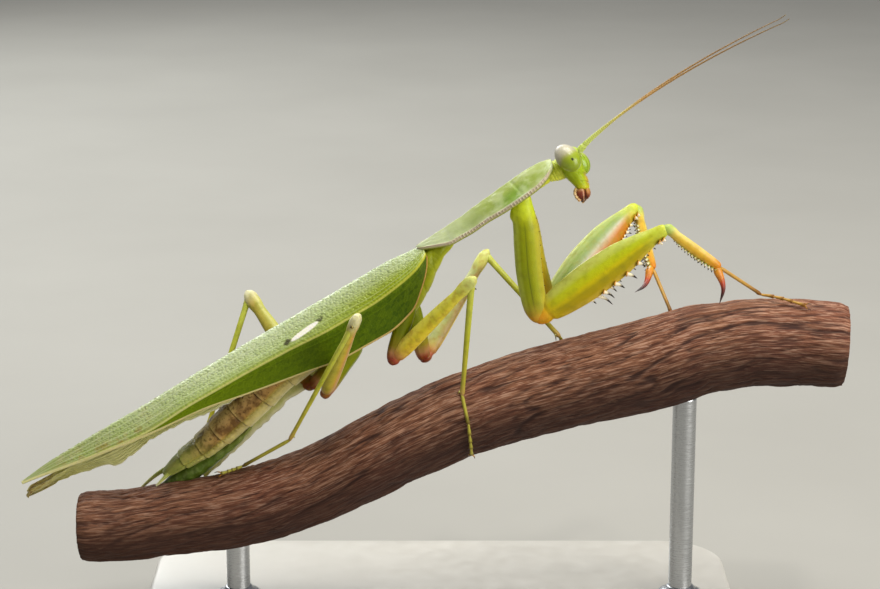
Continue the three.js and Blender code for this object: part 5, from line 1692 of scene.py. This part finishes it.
def claw_tint(nodes):
    body = nodes.ramp("tip", {0: "#d29022", 0.26: "#d08018", 0.42: "#b03c0e", 0.6: "#64180a",
                              0.78: "#1c0906"})
    return nodes.lay(body, ("#5a1a0e", nodes.grain(2.0, 3), 0.45, 0.7, 0.3))


# %% Foreleg finishes
FORE_COXA_TINT = leg_tint(
    {0: "#cdda2c", 0.15: "#b9c10e", 0.35: "#939c00", 0.7: "#7e8600", 0.9: "#a8942a", 1: "#c8962a"},
    "#cbbf4e", veil=0.75,
    over={0: "#c2cc50", 0.12: "#9ca608", 0.4: "#828a00", 0.45: "#465000", 0.5: "#757b00", 0.62: "#888c00",
          0.88: "#9da00c", 1: "#bcae3c"},
    inner={0: "#d9a02c", 0.5: "#c9a414", 1: "#b5a41e"})
FORE_FEMUR_TINT = leg_tint(
    {0: "#d08c20", 0.06: "#c79218", 0.11: "#c4aa0c", 0.4: "#c4b000", 0.75: "#bebc08", 0.95: "#c0c840"},
    "#eee2c4", veil=0.8,
    over={0: "#c4a440", 0.12: "#a08800", 0.34: "#978800", 0.5: "#c2b000", 0.66: "#b4b804", 0.85: "#b0bc20",
          1: "#b8c264"},
    inner={0: "#b46f10", 0.25: "#b87028", 0.42: "#c49878", 0.6: "#bcb8a2", 0.75: "#8e9f72", 0.9: "#768c30",
           1: "#9aa858"}, streak_tint="#97880a", streaks=0.3)
FORE_TIBIA_TINT = leg_tint(
    {0: "#a6bc5c", 0.1: "#b2c264", 0.18: "#ccbc50", 0.3: "#cfb038", 0.7: "#d09f26", 1: "#d27812"},
    "#f0e2bc", veil=0.45, over={0: "#dcb45c", 0.4: "#cc9626", 0.8: "#d0b044", 1: "#e2d490"},
    streak_tint="#b87818")
FORE_COXA_GREEN = cuticle("fore_coxa_green", FORE_COXA_TINT, 1.1, 0.25)
FORE_FEMUR_GREEN = cuticle("fore_femur_green", FORE_FEMUR_TINT, 1.1, 0.25)
FORE_SHIN = cuticle("fore_tibia_straw", FORE_TIBIA_TINT, 1.3, 0.25)
FORE_FOOT = cuticle("fore_foot_straw", foot_tint("#b0863a", "#7c501a"), 1.6, 0.2)
CLAW_HORN = cuticle("claw_horn", claw_tint, 1.4, 0.15, 0.1, "#2a0d07", Roughness=0.3, Specular_IOR_Level=0.5)

# %% Walking leg finishes
WALK_COXA_TINT = leg_tint(
    {0: "#6e7a00", 0.45: "#747e00", 0.72: "#8c7c18", 0.84: "#b07a50", 0.93: "#8a3d26", 1: "#702418"},
    "#8c8a3a")
MID_FEMUR_TINT = leg_tint(
    {0: "#7a2418", 0.05: "#a24a34", 0.11: "#c48c4c", 0.2: "#e4c62e", 0.5: "#dece2c", 0.85: "#d6d448",
     1: "#ccd078"}, "#b5a75c", veil=0.4, over={0: "#dcbe42", 0.5: "#d4c62a", 1: "#d8dc74"},
    inner={0: "#a58a62", 0.4: "#a4a868", 1: "#b8be88"}, streak_tint="#a4701c", streaks=0.45)
HIND_FEMUR_TINT = leg_tint(
    {0: "#6c3018", 0.05: "#8a5028", 0.12: "#b08a38", 0.3: "#b8ae30", 0.8: "#bcb848", 0.93: "#cfc488",
     1: "#d6cfa0"}, "#b5a75c", veil=0.9,
    over={0: "#bcb040", 0.28: "#c88e30", 0.52: "#b4681c", 0.72: "#c0a030", 1: "#c4c464"},
    inner={0: "#a89838", 0.5: "#b4a848", 1: "#c0bc60"})
WALK_TIBIA_TINT = leg_tint(
    {0: "#ccd27c", 0.06: "#bcc04c", 0.5: "#acac2c", 0.9: "#a89c34", 1: "#b08c50"}, "#8f8038",
    streak_tint="#8c8018")
WALK_COXA_RED = cuticle("walking_coxa", WALK_COXA_TINT, 1.2, 0.25)
WALK_FEMUR_FINISH = {"mid": cuticle("mid_femur", MID_FEMUR_TINT, 1.2, 0.25),
                     "hind": cuticle("hind_femur", HIND_FEMUR_TINT, 1.2, 0.25)}
WALK_TIBIA_GREEN = cuticle("walking_tibia", WALK_TIBIA_TINT, 1.3, 0.25)
WALK_FOOT = cuticle("walking_foot", foot_tint("#9a9235", "#62501a"), 1.6, 0.2)

# %% Building all six legs
for side in SIDES:
    for place in ("fore", "mid", "hind"):
        root, trochanter, knee, ankle = joints = leg_joints(place, side)
        coxa_up, femur_up, tibia_up = leg_axes(*joints)
        coxa, femur = (root, trochanter, coxa_up), (trochanter, knee, femur_up)
        tibia = knee, ankle, tibia_up
        toes = foot(f"{place}_tarsus_{side}", ankle)
        if place == "fore":
            hook = fore_claw(f"{place}_claw_{side}", ankle, knee, tibia_up)
            made = [("coxa", "coxa_toothed", fore_coxa(*coxa), FORE_COXA_GREEN, "foreleg_shell"),
                    ("femur", "femur_spined", fore_femur(*femur), FORE_FEMUR_GREEN, "foreleg_shell"),
                    ("tibia", "tibia_spined", fore_tibia(*tibia), FORE_SHIN, "foreleg_shin"),
                    ("claw", "hook", hook, CLAW_HORN, "foreleg_claw"),
                    ("tarsus", "foot", toes, FORE_FOOT, "foreleg_shin")]
        else:
            thigh = walk_femur(*femur, STOUTNESS[place])
            made = [("coxa", "coxa_shell", walk_coxa(*coxa), WALK_COXA_RED, "walking_leg"),
                    ("femur", "femur_shell", thigh, WALK_FEMUR_FINISH[place], "walking_leg"),
                    ("tibia", "tibia_shell", walk_tibia(*tibia), WALK_TIBIA_GREEN, "walking_leg"),
                    ("tarsus", "foot", toes, WALK_FOOT, "walking_leg")]
        for kind, name, parts, finish, slot in made:
            piece(f"{place}_{side}_{name}", parts, finish, slot, f"{place}_{kind}_{side}")
print("legs done:", len(PIECES), "pieces")

# %% [markdown]
# ## The head capsule
# A mantis's head is a shield, wide between the eyes and narrowing to the mouth. Seen from the front, two
# seams run down from the crown, a cross plate lies under the feelers, and cheeks frame the mouth. Three tiny
# simple eyes stand in a triangle on the brow. The capsule is a skin over level rings, with its front and
# back given their own depths, and the seams are cut into it.

# %% Head capsule shape
CAPSULE = [  # height, place of the middle, depth in front, depth behind, half-width
    [2.42, 0.5, 0.08, 0.1, 0.3], [2.38, 0.48, 0.3, 0.32, 0.9], [2.25, 0.46, 0.52, 0.5, 1.42],
    [1.9, 0.4, 0.88, 0.92, 1.95], [1.5, 0.3, 1.06, 1.18, 2.2], [1.1, 0.22, 1.18, 1.3, 2.38],
    [0.1, 0.2, 1.3, 1.38, 2.38], [-0.9, 0.45, 1.34, 1.36, 1.9], [-1.35, 0.66, 1.3, 1.26, 1.62],
    [-1.8, 0.9, 1.22, 1.1, 1.38], [-2.5, 1.25, 0.95, 0.82, 1.12], [-2.85, 1.35, 0.82, 0.72, 1.0],
    [-3.02, 1.37, 0.5, 0.4, 0.65], [-3.05, 1.37, 0.1, 0.1, 0.15],
]

# %% Seams of the head, and its skin
def capsule_relief(y, z, front):
    """Seams, cheeks and the cross plate on the face, by distance from the midline and height."""
    beside = np.abs(y)
    relief = -0.07 * bump(beside - 0.62 - 0.1 * (2.2 - z), 0, 0.09) * ease(z, 0.3, 0.9)
    relief -= 0.07 * bump(beside, 0, 0.07) * ease(z, 0.9, 1.5)
    relief -= 0.22 * bump(beside, 0.72, 0.32) * bump(z, 1.05, 0.42)
    plate = ease(1 - (beside / 1.25) ** 4 - ((z + 0.42) / 0.5) ** 4, 0, 0.5)
    relief += 0.13 * plate - 0.05 * bump(z, -0.42, 0.16) * ease(beside, 1.0, 0.6)
    relief -= 0.08 * bump(z + 1.22 - 0.12 * beside, 0, 0.09)
    relief -= 0.1 * bump(z + 2.1 - 0.1 * beside, 0, 0.08)
    relief -= 0.08 * bump(beside - 1.3 - 0.28 * (z + 1.5), 0, 0.1) * ease(z, 0.1, -0.4)
    relief += 0.1 * bump(beside, 1.65, 0.25) * bump(z, -0.6, 0.45)
    return relief * front


def head_capsule():
    count, sides = 220, 160
    z = np.linspace(CAPSULE[0][0], CAPSULE[-1][0], count)
    middle, front, back, width = (column[:, None] for column in smooth(CAPSULE, z).T)
    angle = round_angles(sides)[None, :]
    c, s = np.cos(angle), np.sin(angle)
    reach = (np.abs(c) ** 2.25 + np.abs(s) ** 2.25) ** (-1 / 2.25)
    depth = np.where(c > 0, front, back)
    y = width * reach * s
    facing = ease(c, 0.05, 0.5)
    relief = capsule_relief(y, z[:, None], facing)
    x = middle + (depth + relief) * reach * c
    rings = np.stack([x, y, np.broadcast_to(z[:, None], x.shape)], 2)[::-1]
    share = steps(count)[:, None]
    return skin(on_head(rings), share=share, aside=np.abs(y[::-1]) / 2.4, front=facing, seam=relief[::-1])

# %% Simple eyes
def dome(centre, out, radius, height, **marks):
    """A small round dome that stands out from a surface."""
    turn = np.linspace(0, math.pi / 2, 9)
    line = centre + np.sin(turn)[:, None] * out * height
    size = radius * np.maximum(np.cos(turn), 0.02)
    line = np.concatenate([[centre - out * height * 0.5], line])
    size = np.concatenate([[radius], size])
    return tube(line, size, size, vec(0.1, 0.3, 1), 20, **marks)


SIMPLE_EYES = [(1.62, -0.3, 1.72), (1.62, 0.3, 1.72), (1.72, 0, 1.28)]


def simple_eyes():
    out = HEAD_AXES @ unit(vec(1, 0, 0.35))
    bead = np.ones((1, 1))
    return [dome(on_head([x - 0.28, y, z]), out, 0.14, 0.12, bead=bead) for x, y, z in SIMPLE_EYES]


# %% [markdown]
# ## The eyes
# A compound eye is a smooth egg of thousands of facets. It is pale and greyish above and olive below, with
# one small dark spot where the facets look straight out. A narrow pale rim joins it to the head. The facets
# are far too fine to model singly, so they are a honeycomb in the finish.

# %% Eye shapes
EYE = {"forward": 0.3, "apart": 2.55, "up": 0.85, "depth": 1.4, "width": 1.3, "height": 1.95, "splay": 14,
       "lean": 40}
PUPIL = unit(vec(0.17, 0.83, -0.53))  # direction of the dark spot on the left eye's unit ball
RIM_DEPTH = 0.42  # how far inward of the eye's middle its rim lies, on the unit ball


def eye_place(hand, ball):
    """Moves points of a unit ball, X forward, Y outward on the left, to the eye on one side of the head."""
    lean, splay = math.radians(EYE["lean"]), math.radians(hand * EYE["splay"])
    back = vec([math.cos(lean), 0, -math.sin(lean)], [0, 1, 0], [math.sin(lean), 0, math.cos(lean)])
    turn = vec([1, 0, 0], [0, math.cos(splay), -math.sin(splay)], [0, math.sin(splay), math.cos(splay)])
    egg = ball * vec(EYE["depth"], EYE["width"], EYE["height"])
    return on_head(egg @ (turn @ back).T + vec(EYE["forward"], hand * EYE["apart"], EYE["up"]))


def ball_rings(count, sides, low, high):
    """Rings of a unit ball from pole to pole along Y, low and high in half turns."""
    tilt = np.linspace(low, high, count) * math.pi
    angle = round_angles(sides)
    across, up = np.cos(tilt)[:, None], np.broadcast_to(np.sin(tilt)[:, None], (count, sides))
    return np.stack([across * np.cos(angle), up, -across * np.sin(angle)], 2)


def eye_lens(hand):
    ball = ball_rings(90, 120, -0.499, 0.499)
    spot = ball @ (PUPIL * vec(1, hand, 1))
    return skin(eye_place(hand, ball), up=ball[..., 2], spot=spot, outward=ball[..., 1] * hand)


def eye_rim(hand):
    """The pale ring where the eye meets the head."""
    angle = round_angles(120)
    circle = np.stack([np.cos(angle), np.full(120, -RIM_DEPTH * hand), np.sin(angle)], 1)
    circle[:, [0, 2]] *= math.sqrt(1 - RIM_DEPTH ** 2) * 1.015
    line = eye_place(hand, circle)
    line = np.concatenate([line, line[:1]])
    return tube(line, 0.07, 0.07, HEAD_AXES[:, 1], 14)


# %% [markdown]
# ## The mouth
# The upper lip hangs in front, a pair of dark jaws shows beside it, and behind them hang two jointed palps,
# pale and thin.

# %% Mouth shapes
def head_tube(points, widths, heights, count=60, sides=28):
    line = bend(on_head(points), count)
    share = steps(count)
    at = steps(len(widths))
    widths, heights = smooth(zip(at, widths, heights), share).T
    return tube(line, widths, heights, HEAD_AXES[:, 0], sides, fullness=2.3)


def upper_lip():
    return head_tube([(1.95, 0, -2.82), (2.02, 0, -3.4), (1.9, 0, -4.12)],
                     [0.55, 0.66, 0.66, 0.5, 0.12], [0.22, 0.3, 0.3, 0.22, 0.06])


def jaw(hand):
    outer = [(1.15, hand * 0.68, -3.0), (1.25, hand * 0.74, -3.7), (1.32, hand * 0.26, -4.45)]
    return head_tube(outer, [0.36, 0.44, 0.42, 0.3, 0.08], [0.5, 0.6, 0.55, 0.36, 0.1])

# %% Palps
def palp(hand):
    points = [(0.75, hand * 1.0, -2.8), (0.62, hand * 1.24, -3.4), (0.8, hand * 1.2, -3.95),
              (1.2, hand * 1.02, -4.45)]
    line = bend(on_head(points), 120)
    share = steps(120)
    joint = (share * 4) % 1
    radius = 0.15 + 0.07 * joint ** 1.5 * (1 - ease(joint, 0.9, 1.0))
    radius[-5:] *= [0.9, 0.75, 0.6, 0.4, 0.15]
    return tube(line, radius, radius, HEAD_AXES[:, 0], 20, joint=joint[:, None])


# %% [markdown]
# ## The feelers
# Each feeler starts with a stout cup-like joint and a short second one, and goes on as a thread of very many
# short rings, green at its base, then orange brown and grey brown.

# %% Feeler shape
FEELER_ROOT = (1.4, 0.5, 2.15)
FEELER_RINGS = 95
FEELER_BASE = [  # length along, radius of the two stout joints
    [0, 0.26], [0.35, 0.34], [0.9, 0.32], [1.1, 0.2], [1.2, 0.26], [1.5, 0.27], [1.7, 0.2], [1.9, 0],
]


def feeler(side, hand):
    x, y, z = FEELER_ROOT
    root = on_head([x - 0.25, hand * y, z - 0.35])
    path = from_tip(f"antenna_{side}", root, 1.0, 1.5)
    line = bend(path, 950)
    length = chord(line)
    share = length / length[-1]
    ring = (share ** 0.85 * FEELER_RINGS) % 1
    radius = 0.13 * (1 - share) ** 0.6 + 0.045 + 0.08 * (1 - ease(length, 1.5, 9))
    radius = radius * (0.86 + 0.14 * np.sin(math.pi * ring))
    base = smooth(FEELER_BASE, length)[:, 0]
    radius = np.maximum(radius, np.where(length < FEELER_BASE[-1][0], base, 0))
    return tube(line, radius, radius, BODY_AXES[:, 1], 10, share=share[:, None], ring=ring[:, None])


# %% Head finishes
def head_tint(nodes):
    share = nodes.mark("share")  # 0 at the mouth, 1 at the crown
    body = nodes.ramp(share, {0: "#c9b03a", 0.05: "#b9b418", 0.13: "#a0ae08", 0.4: "#93a808",
                      0.7: "#96ac10", 0.88: "#adc040", 1: "#c0cf70"})
    warm = nodes.times(nodes.span(share, 0.05, 0.16), nodes.span(share, 0.46, 0.3))
    warm = nodes.times(warm, nodes.span("aside", 0.42, 0.12, 0, 0.6))
    body = nodes.mix(warm, body, "#cf8f48")
    # the last layer is painted shade, darker in the cut seams
    body = nodes.lay(body, ("#a9b828", "aside", 0.5, 0.95, 0.35),
                     ("#7c9000", nodes.grain(1.6, 3), 0.46, 0.7, 0.3),
                     ("#5c7000", "seam", -0.03, -0.14, 0.3))
    return nodes.mix("bead", body, "#b9bf78")

# %% Eye finish
def eye_finish():
    made, nodes, shader = new_finish("compound_eye", Roughness=0.3, Coat_Weight=0.12, Coat_Roughness=0.1,
                                     Subsurface_Weight=0.15, Subsurface_Radius=(0.6, 0.8, 0.3),
                                     Subsurface_Scale=0.0005)
    up = nodes.span("up", -1, 1)
    soft = nodes.maths("ADD", up, nodes.times(nodes.grain(1.1, 3), 0.16))
    body = nodes.ramp(soft, {0.2: "#8a9c10", 0.4: "#94a028", 0.52: "#a2a260", 0.62: "#b0aa88",
                             1: "#c4bda8"})
    facets = nodes.add("TexVoronoi", {"Vector": nodes.place(), "Scale": 14.0}).outputs["Distance"]
    body = nodes.lay(body, ("#93b414", "outward", 0.15, -0.45, 0.85),
                     ("#14100a", "spot", 0.9935, 0.9958, 0.98), ("#3f4420", facets, 0.35, 0.75, 0.2))
    nodes.feed(shader, Base_Color=body, Normal=nodes.bump(facets, 0.12, 0.00003))
    return made


def rim_tint(nodes):
    return nodes.mix(nodes.grain(2.0, 2), "#9db02c", "#b4bf5c")

# %% Mouth and feeler tints
def jaw_tint(nodes):
    body = nodes.ramp("along", {0: "#a8784a", 0.3: "#7a3a26", 0.7: "#501a14", 1: "#1c0908"})
    stripe = nodes.maths("SINE", nodes.times("aside", 7.0))
    return nodes.lay(body, ("#c79a72", stripe, 0.5, 1.0, 0.7))


LIP_TINT = banded("along", {0: "#b08a3c", 0.35: "#a8703c", 0.7: "#7c3a24", 1: "#5a2218"})
PALP_TINT = banded("along", {0: "#a8884a", 0.5: "#cdb084", 1: "#c49a6c"},
                   ("#6a3420", "joint", 0.2, 0.0, 0.8))
FEELER_TINT = banded("share", {0: "#b4c45c", 0.1: "#bcc46a", 0.2: "#b6ac5c", 0.34: "#a68048",
                               0.6: "#83653f", 1: "#6e5a45"}, ("#4a3320", "ring", 0.25, 0.0, 0.5))

# %% Building the head
HEAD_GREEN = cuticle("head_green", head_tint, 1.8, 0.3, 0.2, "#6f7c16")
LIP_FINISH = cuticle("lip_cream", LIP_TINT, 2.5, 0.25, 0.15, "#a8884c")
EYE_FINISH = eye_finish()
EYE_RIM = cuticle("eye_rim_pale", rim_tint, 2.0, 0.2)
JAW_FINISH = cuticle("jaw_maroon", jaw_tint, 2.0, 0.2, 0.1, "#2a0d0a", Roughness=0.3)
PALP_FINISH = cuticle("palp_cream", PALP_TINT, 2.5, 0.2, 0.1, "#b39a62")
FEELER_FINISH = cuticle("feeler_brown", FEELER_TINT, 3.0, 0.1, 0.1, "#5b4026")
piece("head_capsule", [head_capsule()] + simple_eyes(), HEAD_GREEN, "body_shell", "head")
piece("upper_lip", upper_lip(), LIP_FINISH, "mouthparts", "labrum")
for side, hand in SIDES.items():
    piece(f"compound_eye_{side}", eye_lens(hand), EYE_FINISH, "eye_lens", f"eye_{side}")
    piece(f"eye_rim_{side}", eye_rim(hand), EYE_RIM, "body_shell")
    piece(f"mandible_{side}", jaw(hand), JAW_FINISH, "mouthparts", f"jaw_{side}")
    piece(f"mouth_palp_{side}", palp(hand), PALP_FINISH, "mouthparts", f"palp_{side}")
    piece(f"feeler_{side}_ringed", feeler(side, hand), FEELER_FINISH, "feeler_thread", f"antenna_{side}")
print("head done:", len(PIECES), "pieces, faces", sum(count for _, count in PIECES))
